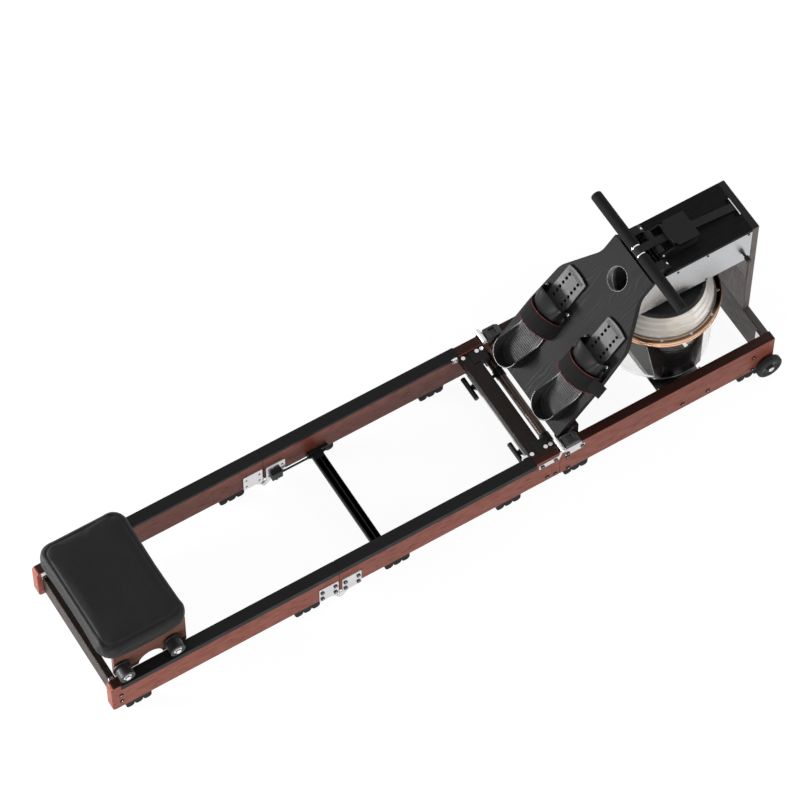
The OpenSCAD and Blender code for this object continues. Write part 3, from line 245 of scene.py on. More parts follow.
class Finish:
    """A material under way: its shader and short names for the nodes it is made of."""

    def __init__(self, name, colour, rough, metal=0.0, level=0.5):
        material = FINISHES[name] = bpy.data.materials.new(name)
        material.use_nodes = True
        self.tree = material.node_tree
        self.shader = self.tree.nodes["Principled BSDF"]
        self.set("Base Color", (*colour, 1))
        self.set("Roughness", rough)
        self.set("Metallic", metal)
        self.set("Specular IOR Level", level)
        material.diffuse_color = (*colour, 1)
        self.colour = colour

    def set(self, socket, value):
        self.shader.inputs[socket].default_value = value

    def node(self, kind, inputs=None, **settings):
        return add_node(self.tree, kind, inputs, **settings)

    def link(self, value, socket):
        self.tree.links.new(value, self.shader.inputs[socket])

    def place(self, scale=(1, 1, 1), turn=(0, 0, 0), shift=(0, 0, 0)):
        """Coordinates on the piece, turned, shifted and then scaled."""
        at = self.node("TexCoord").outputs["Object"]
        turned = self.node("Mapping", {"Vector": at, "Rotation": turn, "Location": shift})
        scaled = self.node("Mapping", {"Vector": turned.outputs[0], "Scale": scale})
        return scaled.outputs[0]

    def noise(self, at, scale, detail=3.0, rough=0.5, distortion=0.0):
        inputs = {"Vector": at, "Scale": scale, "Detail": detail, "Roughness": rough}
        return self.node("TexNoise", {**inputs, "Distortion": distortion}).outputs[0]

    def ramp(self, value, low, high, a=0.0, b=1.0):
        """Carry a value from the range low to high over to the range a to b."""
        inputs = {0: value, 1: low, 2: high, 3: a, 4: b}
        return self.node("MapRange", inputs).outputs[0]

    def blend(self, factor, a, b, kind="MIX"):
        """Mix two colours; the node's colour sockets are inputs 6 and 7 and output 2."""
        a, b = (v if isinstance(v, bpy.types.NodeSocket) else (*v, 1) for v in (a, b))
        inputs = {0: factor, 6: a, 7: b}
        return self.node("Mix", inputs, data_type="RGBA", blend_type=kind).outputs[2]

    def maths(self, operation, a, b=0.0):
        return self.node("Math", {0: a, 1: b}, operation=operation).outputs[0]

    def length(self, u, v):
        """Length of a flat vector."""
        squares = (self.maths("POWER", w, 2) for w in (u, v))
        return self.maths("SQRT", self.maths("ADD", *squares))

    def bump(self, height, depth, strength=1.0, under=None):
        inputs = {"Height": height, "Distance": depth, "Strength": strength}
        if under:
            inputs["Normal"] = under
        return self.node("Bump", inputs).outputs[0]

    def origin(self, angle):
        """What brings the hand hole's middle to the origin after a turn about Y."""
        hole = mm(*HOLE_AT)
        hole.rotate(Matrix.Rotation(angle, 3, "Y"))
        return -hole

    def axes(self, source="Object"):
        """The three coordinates on the piece, or on its UV map."""
        at = self.node("TexCoord").outputs[source]
        return self.node("SeparateXYZ", {0: at}).outputs

    def shades(self, factor, low=0.8, high=1.2, base=None):
        """The colour, darker and lighter with a pattern."""
        base = base or self.colour
        dark, light = ([min(1, c * k) for c in base] for k in (low, high))
        return self.blend(factor, dark, light)


def grey(level, blue=None):
    return (level, level, blue or level)


def grained(name, colour, rough, metal=0.0, level=0.5, grain=900, depth=0.0001, vary=0.15,
            stretch=(1, 1, 1), rub=0.08):
    """A moulded, cast or brushed surface: fine grain, patches of wear and a varied gloss."""
    f = Finish(name, colour, rough, metal, level)
    fine = f.noise(f.place(stretch), grain, 2.0, 0.6)
    broad = f.noise(f.place(), 14, 4.0, 0.6)
    f.link(f.shades(f.ramp(broad, 0.3, 0.7), 1 - vary, 1 + vary), "Base Color")
    worn = f.maths("ADD", f.ramp(broad, 0.35, 0.65, -rub, rub), f.ramp(fine, 0.3, 0.7, -rub, rub))
    f.link(f.maths("ADD", worn, rough), "Roughness")
    f.link(f.bump(fine, depth), "Normal")
    return f


def wood(name, colour, stretch, rough=0.42, depth=0.00012, painted_shade_top=0.0, contrast=0.2,
         level=0.15, coat=0.03, pore_shade=0.72):
    """Lacquered hardwood: wavy figure, pores along the grain and a clear coat.

    Above the given top height, in metres, the wood is darkened almost to black: painted shade on
    its top faces.
    """
    f = Finish(name, colour, rough, 0.0, level)
    figure = f.noise(f.place([s * 9 for s in stretch]), 1.0, 5.0, 0.6, 1.2)
    pores = f.noise(f.place([s * 160 for s in stretch]), 1.0, 2.0, 0.7)
    bands = f.noise(f.place([s * 40 for s in stretch]), 1.0, 3.0, 0.6, 0.6)
    shade = f.maths("ADD", f.ramp(figure, 0.3, 0.7, 0, 0.55), f.ramp(bands, 0.3, 0.7, 0, 0.45))
    colour_out = f.shades(shade, 1 - contrast, 1 + contrast)
    pore = f.ramp(pores, 0.34, 0.5, pore_shade, 1.0)
    colour_out = f.blend(1.0, colour_out, pore, "MULTIPLY")
    if painted_shade_top:
        # Painted shade: the top faces darken almost to black.
        painted_top_shade = f.ramp(f.axes()[2], painted_shade_top - 0.0012, painted_shade_top - 0.0004, 1.0, 0.16)
        colour_out = f.blend(1.0, colour_out, painted_top_shade, "MULTIPLY")
    f.link(colour_out, "Base Color")
    f.link(f.ramp(pores, 0.3, 0.6, rough + 0.18, rough - 0.06), "Roughness")
    f.link(f.bump(pore, depth, 0.6), "Normal")
    f.set("Coat Weight", coat)
    f.set("Coat Roughness", 0.25)


def raised_grain(name, colour, turn):
    """Black stained board whose soft grain is brushed out, so that the hard grain stands up."""
    f = Finish(name, colour, 0.55, 0.0, 0.12)
    at = f.place((0.55, 1, 1), turn)
    warp = f.noise(f.place((3.2, 8.5, 8.5), turn), 1.0, 2.0, 0.5, 0.4)
    lines = f.node("TexWave", {"Vector": at, "Scale": 38.0, "Distortion": 0.0, "Detail": 0.0,
                               "Phase Offset": f.ramp(warp, 0.2, 0.8, 0, 46)},
                   wave_type="BANDS", bands_direction="Y").outputs[1]
    fibre = f.noise(f.place((40, 900, 900), turn), 1.0, 2.0, 0.6)
    ridge = f.ramp(lines, 0.55, 0.95)
    f.link(f.shades(ridge, 0.92, 1.25), "Base Color")
    f.link(f.ramp(ridge, 0.0, 1.0, 0.55, 0.48), "Roughness")
    under = f.bump(fibre, 0.0001, 0.5)
    f.link(f.bump(ridge, 0.00022, 0.7, under), "Normal")


def leather(name, colour):
    """Matte synthetic leather with a pebbled grain and soft creases."""
    f = Finish(name, colour, 0.52, 0.0, 0.2)
    at = f.place()
    cells = f.node("TexVoronoi", {"Vector": at, "Scale": 620.0}, feature="DISTANCE_TO_EDGE")
    pebbles = f.ramp(cells.outputs[0], 0.0, 0.25)
    creases = f.noise(at, 26, 4.0, 0.6, 0.8)
    # Painted shade and highlight: the colour is darker in the creases' hollows and lighter on their
    # rises.
    f.link(f.shades(f.ramp(creases, 0.3, 0.7), 0.85, 1.2), "Base Color")
    f.link(f.ramp(pebbles, 0, 1, 0.66, 0.5), "Roughness")
    under = f.bump(creases, 0.0008, 0.35)
    f.link(f.bump(pebbles, 0.00012, 0.8, under), "Normal")
    f.set("Sheen Weight", 0.03)
    f.set("Sheen Roughness", 0.5)


def webbing(name, colour, along=950.0, across=70.0):
    """Woven strap: ribs that run along it, crossed by the weft, on the piece's own UV map."""
    f = Finish(name, colour, 0.8, 0.0, 0.2)
    u, v, _ = f.axes("UV")
    ribs = f.maths("SINE", f.maths("MULTIPLY", u, across))
    weft = f.maths("SINE", f.maths("MULTIPLY", v, along))
    height = f.maths("ADD", f.maths("ABSOLUTE", ribs), f.maths("MULTIPLY", weft, 0.25))
    # Painted shade and highlight: the colour is darker in the grooves of the weave and lighter on
    # its raised ribs.
    f.link(f.shades(f.ramp(height, 0.2, 1.1), 0.65, 1.4), "Base Color")
    f.link(f.bump(height, 0.0003, 0.8), "Normal")
    f.set("Sheen Weight", 0.15)


def knit(name, colour):
    """Spacer fabric of the foot straps, a fine knit over foam."""
    f = Finish(name, colour, 0.85, 0.0, 0.2)
    cells = f.node("TexVoronoi", {"Vector": f.place(), "Scale": 520.0, "Randomness": 0.35})
    holes = f.ramp(cells.outputs[0], 0.1, 0.6)
    soft = f.noise(f.place(), 40, 3.0)
    f.link(f.shades(holes, 1.5, 0.7), "Base Color")
    under = f.bump(soft, 0.0008, 0.4)
    f.link(f.bump(holes, 0.0003, 0.8, under), "Normal")
    f.set("Sheen Weight", 0.05)


def clear_plastic(name, colour, rough=0.04, clear=0.92, ior=1.35):
    """Clear moulded polycarbonate with faint flow marks."""
    f = Finish(name, colour, rough, 0.0, 0.5)
    flow = f.noise(f.place((1, 1, 0.3)), 18, 3.0, 0.5, 0.6)
    f.link(f.shades(f.ramp(flow, 0.3, 0.7), 0.93, 1.04), "Base Color")
    f.link(f.ramp(flow, 0.3, 0.7, rough * 0.6, rough * 2.2), "Roughness")
    f.set("IOR", ior)
    f.set("Transmission Weight", clear)


def tread(name, colour, centre, hub_r):
    """Rubber tyre whose middle, inside a radius, is a satin moulded hub."""
    f = grained(name, colour, 0.7, 0.0, 0.3, 700, 0.0002)
    x, _, z = f.axes()
    dx = f.maths("SUBTRACT", x, centre[0] * MM)
    dz = f.maths("SUBTRACT", z, centre[1] * MM)
    away = f.length(dx, dz)
    hub = f.ramp(away, hub_r * MM - 0.0003, hub_r * MM + 0.0003, 1.0, 0.0)
    rings = f.maths("SINE", f.maths("MULTIPLY", away, 2600))
    rubber = f.shades(f.ramp(rings, -1, 1), 0.8, 1.3)
    f.link(f.blend(hub, rubber, [c * 2.2 for c in colour]), "Base Color")
    f.link(f.ramp(hub, 0, 1, 0.72, 0.35), "Roughness")


def cup_grey_and_lit_inside(name, colour, inside_grey_and_light, angle, heel_u, radius):
    """Black heel cup, lighter grey inside a U-shaped line: partly its own grey floor, partly
    painted light on its inner walls.

    The U opens to the toes. Its curve goes round heel_u on the board, which slopes by the angle.
    """
    f = grained(name, colour, 0.34, 0.0, 0.4, 1100, 0.00006)
    at = f.place(turn=(0, angle, 0), shift=f.origin(angle))
    x, y, _ = f.node("SeparateXYZ", {0: at}).outputs
    back = f.maths("MINIMUM", f.maths("SUBTRACT", x, heel_u * MM), 0.0)
    off = f.maths("SUBTRACT", f.maths("ABSOLUTE", y), SOLE_Y * MM)
    away = f.length(back, off)
    inside = f.ramp(away, (radius - 0.3) * MM, (radius + 0.3) * MM, 1.0, 0.0)
    soft = f.noise(f.place(), 60, 3.0)
    # Inside the U the colour is lighter: the floor's own grey and painted light on the inner walls.
    f.link(f.blend(inside, colour, f.shades(soft, 0.85, 1.15, inside_grey_and_light)), "Base Color")


def clamp_copper(name, colour):
    """Polished copper ring, darkened in the groove between its rims: painted shade."""
    f = grained(name, colour, 0.16, 1.0, 0.5, 240, 0.0, 0.06, rub=0.04)
    x, y, _ = f.axes()
    away = f.length(f.maths("SUBTRACT", x, TANK_X * MM), y)
    inner = f.ramp(away, (RING_R - 14) * MM, (RING_R - 12) * MM)
    outer = f.ramp(away, (RING_R - 5) * MM, (RING_R - 3.5) * MM, 1.0, 0.0)
    groove_shade = f.maths("MULTIPLY", inner, outer)
    # Painted shade: the groove between the rims is darkened.
    f.link(f.blend(groove_shade, colour, [c * 0.22 for c in colour]), "Base Color")


def frame_steel(name, colour):
    """Steel of the drive's frame, black on the lid but for the front edge of the slot."""
    f = grained(name, colour, 0.24, 1.0, 0.5, 260, 0.00006, 0.08)
    x, _, z = f.axes()
    front = f.ramp(x, (RIM_AT[0] + 7.5) * MM, (RIM_AT[0] + 8) * MM)
    inside = f.ramp(z, (LID_TOP - 2) * MM, (LID_TOP - 1) * MM, 1.0, 0.0)
    f.link(f.blend(f.maths("MAXIMUM", front, inside), grey(0.006), colour), "Base Color")


def bolt_steel(name, colour):
    """Bright zinc; the button heads on the rails' outer faces are black oxide."""
    f = grained(name, colour, 0.24, 1.0, 0.5, 1300, 0.00005, 0.08)
    across = f.maths("ABSOLUTE", f.axes()[1])
    middle, reach = 0.2308, 0.0073
    heads = {0: across, 1: middle, 2: reach}
    on_rail = f.node("Math", heads, operation="COMPARE").outputs[0]
    bright = f.shades(f.noise(f.place(), 30), 0.85, 1.1)
    f.link(f.blend(on_rail, bright, grey(0.035, 0.037)), "Base Color")
    f.link(f.ramp(on_rail, 0, 1, 0.24, 0.38), "Roughness")


def make_finishes():
    """Make every material.

    After the colour, wood takes its grain's direction. A grained surface takes its
    roughness, metal, gloss level, the grain's fineness and depth, and how much it varies.
    """
    c = bpy.context.scene.rower_colours
    along_x, along_y, along_z = (0.16, 1, 1), (1, 0.16, 1), (1, 1, 0.16)
    faint = {"contrast": 0.04, "pore_shade": 0.93}
    grey_stain = (0.115, 0.096, 0.094)
    angle = bpy.context.scene.rower_sizes.board_angle
    rail, dark, black = c.rail_wood, c.dark_wood, c.black_plastic
    # The rail, post and front board woods carry painted shade on their top faces.
    wood("rail_wood", rail, along_x, painted_shade_top=RAIL_TOP * MM, contrast=0.12)
    wood("cross_wood", dark, along_y, coat=0.04)
    wood("post_wood", grey_stain, along_z, painted_shade_top=LID_TOP * MM, **faint)
    wood("front_wood", grey_stain, along_y, painted_shade_top=RAIL_TOP * MM, **faint)
    wood("cleat_wood", [k * 0.8 for k in dark], along_y, coat=0.0)
    wood("carriage_wood", (0.12, 0.05, 0.035), along_x, level=0.3, coat=0.12)
    wood("lid_wood", (0.0055, 0.005, 0.0048), along_x, 0.55, depth=0.0002, level=0.1, coat=0.0)
    raised_grain("board_wood", grey(0.011, 0.0113), (0, angle, 0))
    grained("moulded_plastic", black, 0.46, 0, 0.2, 1100, 0.0001)
    # The heel cups' inner faces are painted lighter: partly their own floor, partly painted light.
    cup_grey_and_lit_inside("cup_plastic", [k * 0.6 for k in black], grey(0.025, 0.026), angle, -400, 46.2)
    grained("cap_plastic", [k * 0.8 for k in black], 0.5, 0, 0.15, 1500, 0.00006,
            stretch=(0.05, 1, 1))
    grained("gloss_plastic", [k * 0.7 for k in black], 0.12, 0, 0.5, 90, 0.00004)
    grained("grey_plastic", grey(0.088, 0.09), 0.5, 0, 0.4, 1200, 0.0001)
    grained("sleeve_plastic", grey(0.24), 0.35, 0.0, 0.5, 1200, 0.0)
    grained("heel_rubber", grey(0.022, 0.0225), 0.55, 0, 0.3, 1200, 0.0001)
    grained("cover_plastic", (0.055, 0.057, 0.06), 0.42, 0, 0.4, 1200, 0.0001)
    grained("foot_rubber", grey(0.01), 0.7, 0, 0.15, 800, 0.0002)
    grained("grip_foam", grey(0.011), 0.8, 0, 0.15, 1600, 0.0004, 0.2)
    grained("roller_tread", grey(0.016, 0.017), 0.4, 0, 0.4, 500, 0.0001)
    grained("hinge_steel", grey(0.66, 0.67), 0.3, 1, 0.5, 260, 0.00006, 0.08, (1, 1, 0.04))
    bolt_steel("bolt_steel", grey(0.7, 0.71))
    grained("bright_steel", grey(0.8, 0.81), 0.18, 1, 0.5, 900, 0.00003, 0.06)
    grained("black_oxide", grey(0.02, 0.021), 0.36, 0.6, 0.4, 900, 0.00005)
    grained("brushed_aluminium", (0.5, 0.51, 0.52), 0.3, 1, 0.5, 420, 0.00005, 0.06,
            (0.02, 1, 1))
    grained("tray_steel", grey(0.5, 0.51), 0.34, 1, 0.5, 300, 0.00005, 0.1, (0.05, 1, 1))
    grained("chrome", grey(0.78, 0.79), 0.1, 1, 0.5, 60, 0.00001, 0.04)
    grained("bronze_paint", c.tube, 0.3, 0.4, 0.5, 260, 0.0, 0.04, rub=0.02)
    clamp_copper("copper", c.copper)
    frame_steel("frame_steel", grey(0.66, 0.67))
    clear_plastic("clear_shell", (0.985, 0.98, 0.97), 0.02, 0.96, 1.18)
    clear_plastic("clear_dome", (0.94, 0.9, 0.85), 0.05, 0.6, 1.35)
    clear_plastic("blade_plastic", (0.85, 0.74, 0.5), 0.18)
    tread("wheel_tyre", grey(0.013), WHEEL_AT, 25)
    leather("seat_cover", c.seat)
    grained("hood_skin", grey(0.006), 0.36, 0, 0.25, 240, 0.0, 0.1, rub=0.02)
    webbing("strap_webbing", grey(0.013, 0.014))
    knit("strap_knit", grey(0.002, 0.0021))
    grained("strap_piping", c.piping, 0.6, 0, 0.3, 2400, 0.0001)


# The solids of each finish, by how far their edges are rounded, in millimetres
SOLIDS = {
    ("rail_wood", 1.6): "base_rails mid_rails rear_rails",
    ("post_wood", 2.0): "front_post",
    ("front_wood", 2.0): "cross_board",
    ("cross_wood", 1.2): "rear_crossbar",
    ("cross_wood", 2.0): "mid_plank",
    ("cleat_wood", 1.0): "board_cleats",
    ("carriage_wood", 1.0): "seat_carriage",
    ("lid_wood", 1.6): "housing_lid",
    ("board_wood", 0.0): "footboard",
    ("brushed_aluminium", 0.4): "housing_sides",
    ("cap_plastic", 0.9): "mid_caps rear_caps",
    ("moulded_plastic", 0.7): "lid_fittings phone_plate",
    ("moulded_plastic", 0.8): "tube_collars tank_cover latch_guides",
    ("cover_plastic", 1.2): "hinge_covers",
    ("moulded_plastic", 0.5): "foot_brackets side_knob strap_pulley strap_drum",
    ("moulded_plastic", 0.6): "release_bar guide_roller",
    ("cup_plastic", 1.3): "heel_cup_left heel_cup_right",
    ("grey_plastic", 0.5): "sole_left sole_right",
    ("gloss_plastic", 1.2): "tank_cradle",
    ("tray_steel", 0.6): "tank_tray",
    ("frame_steel", 0.4): "drive_frame",
    ("hinge_steel", 0.5): "front_hinge_base front_hinge_mid mid_hinge_front mid_hinge_rear",
    ("bolt_steel", 0.35): "base_fixings mid_fixings rear_fixings",
    ("black_oxide", 0.6): "locking_pin_left locking_pin_right",
    ("bronze_paint", 0.0): "locking_tube",
    ("chrome", 0.4): "handle_bar",
    ("bright_steel", 0.4): "seat_axles",
    ("grip_foam", 4.0): "handle_grips",
    ("foot_rubber", 0.8): "base_feet mid_feet rear_feet",
    ("wheel_tyre", 0.5): "wheel_left wheel_right",
    ("roller_tread", 0.6): "rollers_front rollers_rear",
    ("copper", 0.5): "clamp_ring",
    ("clear_shell", 0.0): "tank_bowl",
    ("clear_dome", 0.0): "tank_top",
    ("blade_plastic", 0.0): "impeller",
    ("strap_webbing", 0.0): "drive_strap",
    ("strap_knit", 0.0): "foot_straps",
    ("seat_cover", 0.0): "seat_pad",
}


def round_edges(obj, width):
    """Weld a solid's triangles, clear its flat faces and round its sharp edges.

    A width of 0 keeps the faces as they are and only splits the sharp edges.
    """
    add_modifier(obj, "WELD", merge_threshold=WELD)
    if width:
        add_modifier(obj, "DECIMATE", decimate_type="DISSOLVE", angle_limit=math.radians(0.5))
        add_modifier(obj, "BEVEL", width=width * MM, segments=2, limit_method="ANGLE",
                     angle_limit=math.radians(38), use_clamp_overlap=False,
                     miter_outer="MITER_ARC")
        add_modifier(obj, "WEIGHTED_NORMAL", keep_sharp=True)
    else:
        add_modifier(obj, "EDGE_SPLIT", split_angle=math.radians(32))


class ROWER_OT_finishes(bpy.types.Operator):
    """Give every solid its material and its rounded edges"""

    bl_idname = "rower.finishes"
    bl_label = "Finishes"

    def execute(self, context):
        make_finishes()
        dressed = [node for nodes in SOLIDS.values() for node in nodes.split()]
        unknown = set(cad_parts) ^ set(dressed)
        if unknown:
            raise RuntimeError(f"solids without a finish: {sorted(unknown)}")
        for (finish, width), nodes in SOLIDS.items():
            for node in nodes.split():
                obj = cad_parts[node]
                obj.data.materials.clear()
                obj.data.materials.append(FINISHES[finish])
                obj.data.shade_smooth()
                round_edges(obj, width)
        return {"FINISHED"}


# Camera and studio

# The camera's place in metres and its line of sight, fitted to the photograph
CAMERA_AT = (-3.3091, -5.3228, 10.9527)
SIGHT = (0.26775705, 0.43585136, -0.85926699)

# Each lamp's place, target, size and share of the key light's power
LAMPS = {
    "key": ((-3.2, -4.6, 0.5), (0, 0, 0.1), (3.2, 0.7), 1.0),
    "back": ((-3.0, 1.6, 0.42), (0.4, 0, 0.2), (1.8, 0.6), 0.8),
    "side": ((3.8, -2.4, 2.2), (0.8, 0, 0.4), (1.6, 1.6), 0.22),
}


def aim(obj, at, sight, roll=0.0):
    """Place a camera or lamp so that it looks along a direction, rolled about it."""
    obj.location = at
    obj.rotation_mode = "QUATERNION"
    obj.rotation_quaternion = Vector(sight).to_track_quat("-Z", "Y") @ Quaternion(UP, roll)


class ROWER_OT_camera(bpy.types.Operator):
    """Place the camera high behind the seat, on its right"""

    bl_idname = "rower.camera"
    bl_label = "Camera"

    def execute(self, context):
        sizes = context.scene.rower_sizes
        data = bpy.data.cameras.new("camera")
        data.lens = sizes.lens
        data.sensor_width = 36
        data.clip_end = 100
        cam = new_object("camera", data)
        aim(cam, CAMERA_AT, SIGHT, math.radians(sizes.roll))
        context.scene.camera = cam
        return {"FINISHED"}


def add_lamp(name, at, target, size, power):
    """A rectangular lamp that faces a target."""
    data = bpy.data.lights.new(name, "AREA")
    data.shape = "RECTANGLE"
    data.size, data.size_y = size
    data.energy = power
    aim(new_object(name, data), at, Vector(target) - Vector(at))


def seen_rays(tree):
    """1 for rays that show the background: to the camera, in gloss and through glass."""
    rays = add_node(tree, "LightPath").outputs
    total = rays["Is Camera Ray"]
    for name in ("Is Glossy Ray", "Is Transmission Ray"):
        total = add_node(tree, "Math", {0: total, 1: rays[name]}, operation="MAXIMUM").outputs[0]
    return total


def empty_tree(owner):
    """The node tree of a material or world, with nothing in it."""
    owner.use_nodes = True
    owner.node_tree.nodes.clear()
    return owner.node_tree


class ROWER_OT_studio(bpy.types.Operator):
    """Build the pale floor, the lamps and the white surroundings"""

    bl_idname = "rower.studio"
    bl_label = "Studio"

    def execute(self, context):
        scene = context.scene
        scene.view_settings.view_transform = "Standard"
        select_only()
        bpy.ops.mesh.primitive_circle_add(vertices=96, radius=30, fill_type="NGON")
        floor = context.object
        floor.name = "floor"
        mat = bpy.data.materials.new("floor")
        tree = empty_tree(mat)
        share = add_node(tree, "Math", {0: seen_rays(tree), 1: 0.8}, operation="MULTIPLY")
        matt = add_node(tree, "BsdfDiffuse", {"Color": (0.92, 0.92, 0.92, 1)})
        glow = add_node(tree, "Emission", {"Strength": 1.15})
        parts = {0: share.outputs[0], 1: matt.outputs[0], 2: glow.outputs[0]}
        mix = add_node(tree, "MixShader", parts)
        add_node(tree, "OutputMaterial", {0: mix.outputs[0]})
        floor.data.materials.append(mat)

        scene.world = bpy.data.worlds.new("studio")
        tree = empty_tree(scene.world)
        levels = {0: seen_rays(tree), 3: scene.rower_sizes.fill_light, 4: 1.0}
        level = add_node(tree, "MapRange", levels)
        back = add_node(tree, "Background", {0: (1, 1, 1, 1), 1: level.outputs[0]})
        add_node(tree, "OutputWorld", {0: back.outputs[0]})

        for name, (at, target, size, share) in LAMPS.items():
            add_lamp(name, at, target, size, scene.rower_sizes.key_light * share)
        return {"FINISHED"}


# Seat

CLOTH_FRAMES = 20
SEAT_CORNER = 0.05
SEAM_IN, SEAM_WIDTH, SEAM_DEPTH = 0.0215, 0.0032, 0.0022  # the line pressed in along the rim
DISH_X, DISH_Y, DISH_DEPTH = 0.09, 0.15, 0.004  # half sizes and depth of the sat-in dish


def rim_distance(x, y, length, width, radius):
    """How far a point lies inside the rounded outline of the seat."""
    qx = abs(x) - length / 2 + radius
    qy = abs(y) - width / 2 + radius
    outside = math.hypot(max(qx, 0), max(qy, 0)) + min(max(qx, qy), 0)
    return radius - outside


def swell(obj, cap, pressure, held):
    """Blow the cover up over its foam, held where the test says, by no more than the cap."""
    scene = bpy.context.scene
    rest = [v.co.copy() for v in obj.data.vertices]
    pins = obj.vertex_groups.new(name="pins")
    pins.add([v.index for v in obj.data.vertices if held(v.co)], 1.0, "REPLACE")
    cloth = add_modifier(obj, "CLOTH").settings
    cloth.vertex_group_mass = "pins"
    cloth.use_pressure = True
    cloth.uniform_pressure_force = pressure
    cloth.effector_weights.gravity = 0
    for number in range(1, CLOTH_FRAMES + 1):
        scene.frame_set(number)
    select_only(obj)
    bpy.ops.object.modifier_apply(modifier="Cloth")
    scene.frame_set(1)
    for v, r in zip(obj.data.vertices, rest):
        move = v.co - r
        if move.length > cap:
            v.co = r + move * (cap / move.length)


class ROWER_OT_seat(bpy.types.Operator):
    """Upholster the seat: a swollen cover over the pad, a pressed rim line and a base edge"""

    bl_idname = "rower.seat"
    bl_label = "Seat"

    def execute(self, context):
        sizes = context.scene.rower_sizes
        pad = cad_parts["seat_pad"]
        low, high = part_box("seat_pad")
        mid = (low + high) / 2
        cover = new_object("seat_cover", pad.data.copy())
        outwards(cover)
        select_only(cover)
        cover.data.remesh_voxel_size = sizes.seat_grain
        bpy.ops.object.voxel_remesh()
        swell(cover, cap=0.004, pressure=3.0, held=lambda p: p.z < low.z + 0.006)
        length, width = high.x - low.x, high.y - low.y
        apply_modifier(cover, "SMOOTH", factor=0.5, iterations=3)
        apply_modifier(cover, "SUBSURF", levels=1, render_levels=1)
        for v in cover.data.vertices:
            p = v.co - mid
            inside = rim_distance(p.x, p.y, length, width, SEAT_CORNER)
            if v.co.z > low.z + 0.03:
                v.co.z -= SEAM_DEPTH * math.exp(-(((inside - SEAM_IN) / SEAM_WIDTH) ** 2))
                dish = max(0.0, 1 - (p.x / DISH_X) ** 2) * max(0.0, 1 - (p.y / DISH_Y) ** 2)
                v.co.z -= DISH_DEPTH * dish
            v.co.z = min(v.co.z, high.z + 0.003)
        settle(cover, "seat_cover", "seat", "seat_cover", 60)
        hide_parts("seat_pad")
        return {"FINISHED"}


# Drive strap

SLOPE = 83.34  # the angle at which the strap leaves the guide roller for the slot's rim


def arc(centre, radius, angles):
    """Points of the strap on a circle in the X-Z plane, each with its width direction."""
    points = []
    for a in angles:
        c, s = math.cos(math.radians(a)), math.sin(math.radians(a))
        points.append((mm(centre[0] + radius * c, 0, centre[1] + radius * s), ACROSS))
    return points


def strap_route():
    """The strap's middle line from the handle to the drum, with its width direction."""
    route = arc(HANDLE_AT, ROUND_R, [50 - 10 * i for i in range(32)] + [-270])
    steps = 16
    for i in range(1, steps + 1):
        x = HANDLE_AT[0] + (GUIDE_AT[0] - HANDLE_AT[0]) * i / steps
        route.append((mm(x, 0, HANDLE_AT[1] + ROUND_R), ACROSS))
    route += arc(GUIDE_AT, ROUND_R, [86.7, SLOPE])
    route += arc(RIM_AT, RIM_R, [SLOPE, 60, 40, 20, 0])
    route += arc(PULLEY_AT, PULLEY_R, range(0, -91, -10))
    start = mm(PULLEY_AT[0], 0, PULLEY_AT[1] - PULLEY_R)
    end = mm(TANK_X, DRUM_R, DRUM_Z)
    steps = 24
    for i in range(1, steps):
        t = i / steps
        e = t * t * (3 - 2 * t)
        at = Vector((start.x + (end.x - start.x) * t, end.y * e, start.z + (end.z - start.z) * e))
        turn = math.radians(90 * e)
        route.append((at, Vector((0, math.cos(turn), math.sin(turn)))))
    for a in range(90, 331, 10):
        c, s = math.cos(math.radians(a)), math.sin(math.radians(a))
        route.append((mm(TANK_X + DRUM_R * c, DRUM_R * s, DRUM_Z), UP))
    return route


class ROWER_OT_drive_strap(bpy.types.Operator):
    """Weave the strap from the handle over its roller, through the slot and round the drum"""

    bl_idname = "rower.drive_strap"
    bl_label = "Drive strap"

    def execute(self, context):
        sizes = context.scene.rower_sizes
        route = strap_route()
        half, across = sizes.strap_width / 2, 6
        points, cells, long = [], [], [0.0]
        for i, (at, side) in enumerate(route):
            if i:
                long.append(long[-1] + (at - route[i - 1][0]).length)
            points += [at + side * half * (2 * k / across - 1) for k in range(across + 1)]
        row = across + 1
        for i in range(len(route) - 1):
            for k in range(across):
                a = i * row + k
                cells.append((a, a + 1, a + row + 1, a + row))
        data = bpy.data.meshes.new("drive_strap_web")
        data.from_pydata(points, [], cells)
        layer = data.uv_layers.new(name="strap")
        for loop in data.loops:
            i, k = divmod(loop.vertex_index, row)
            layer.data[loop.index].uv = (k / across, long[i])
        strap = new_object("drive_strap_web", data)
        apply_modifier(strap, "SOLIDIFY", thickness=sizes.strap_thickness, offset=0)
        settle(strap, "drive_strap_web", None, "strap_webbing", 50)
        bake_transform(strap)
        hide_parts("drive_strap")
        return {"FINISHED"}


# Foot straps

# In metres, with the radii from the foot's middle line
STRAP_LONG, STRAP_R = 0.056, 0.0612
STITCHES, STITCH_WIDTH, STITCH_DEPTH = (0, 0.62), 0.05, 0.0012  # angles from the top, radians
HOOD_LONG, HOOD_R, HOOD_THICK, HOOD_DROP = 0.052, 0.054, 0.0045, 0.22
PIPING_R, PIPING_THICK = 0.064, 0.0022
TAIL = (0.042, 0.046, 0.0022)

# Along the board from the hand hole's middle, in millimetres
STRAP_U, HOOD_AHEAD = -261, 50


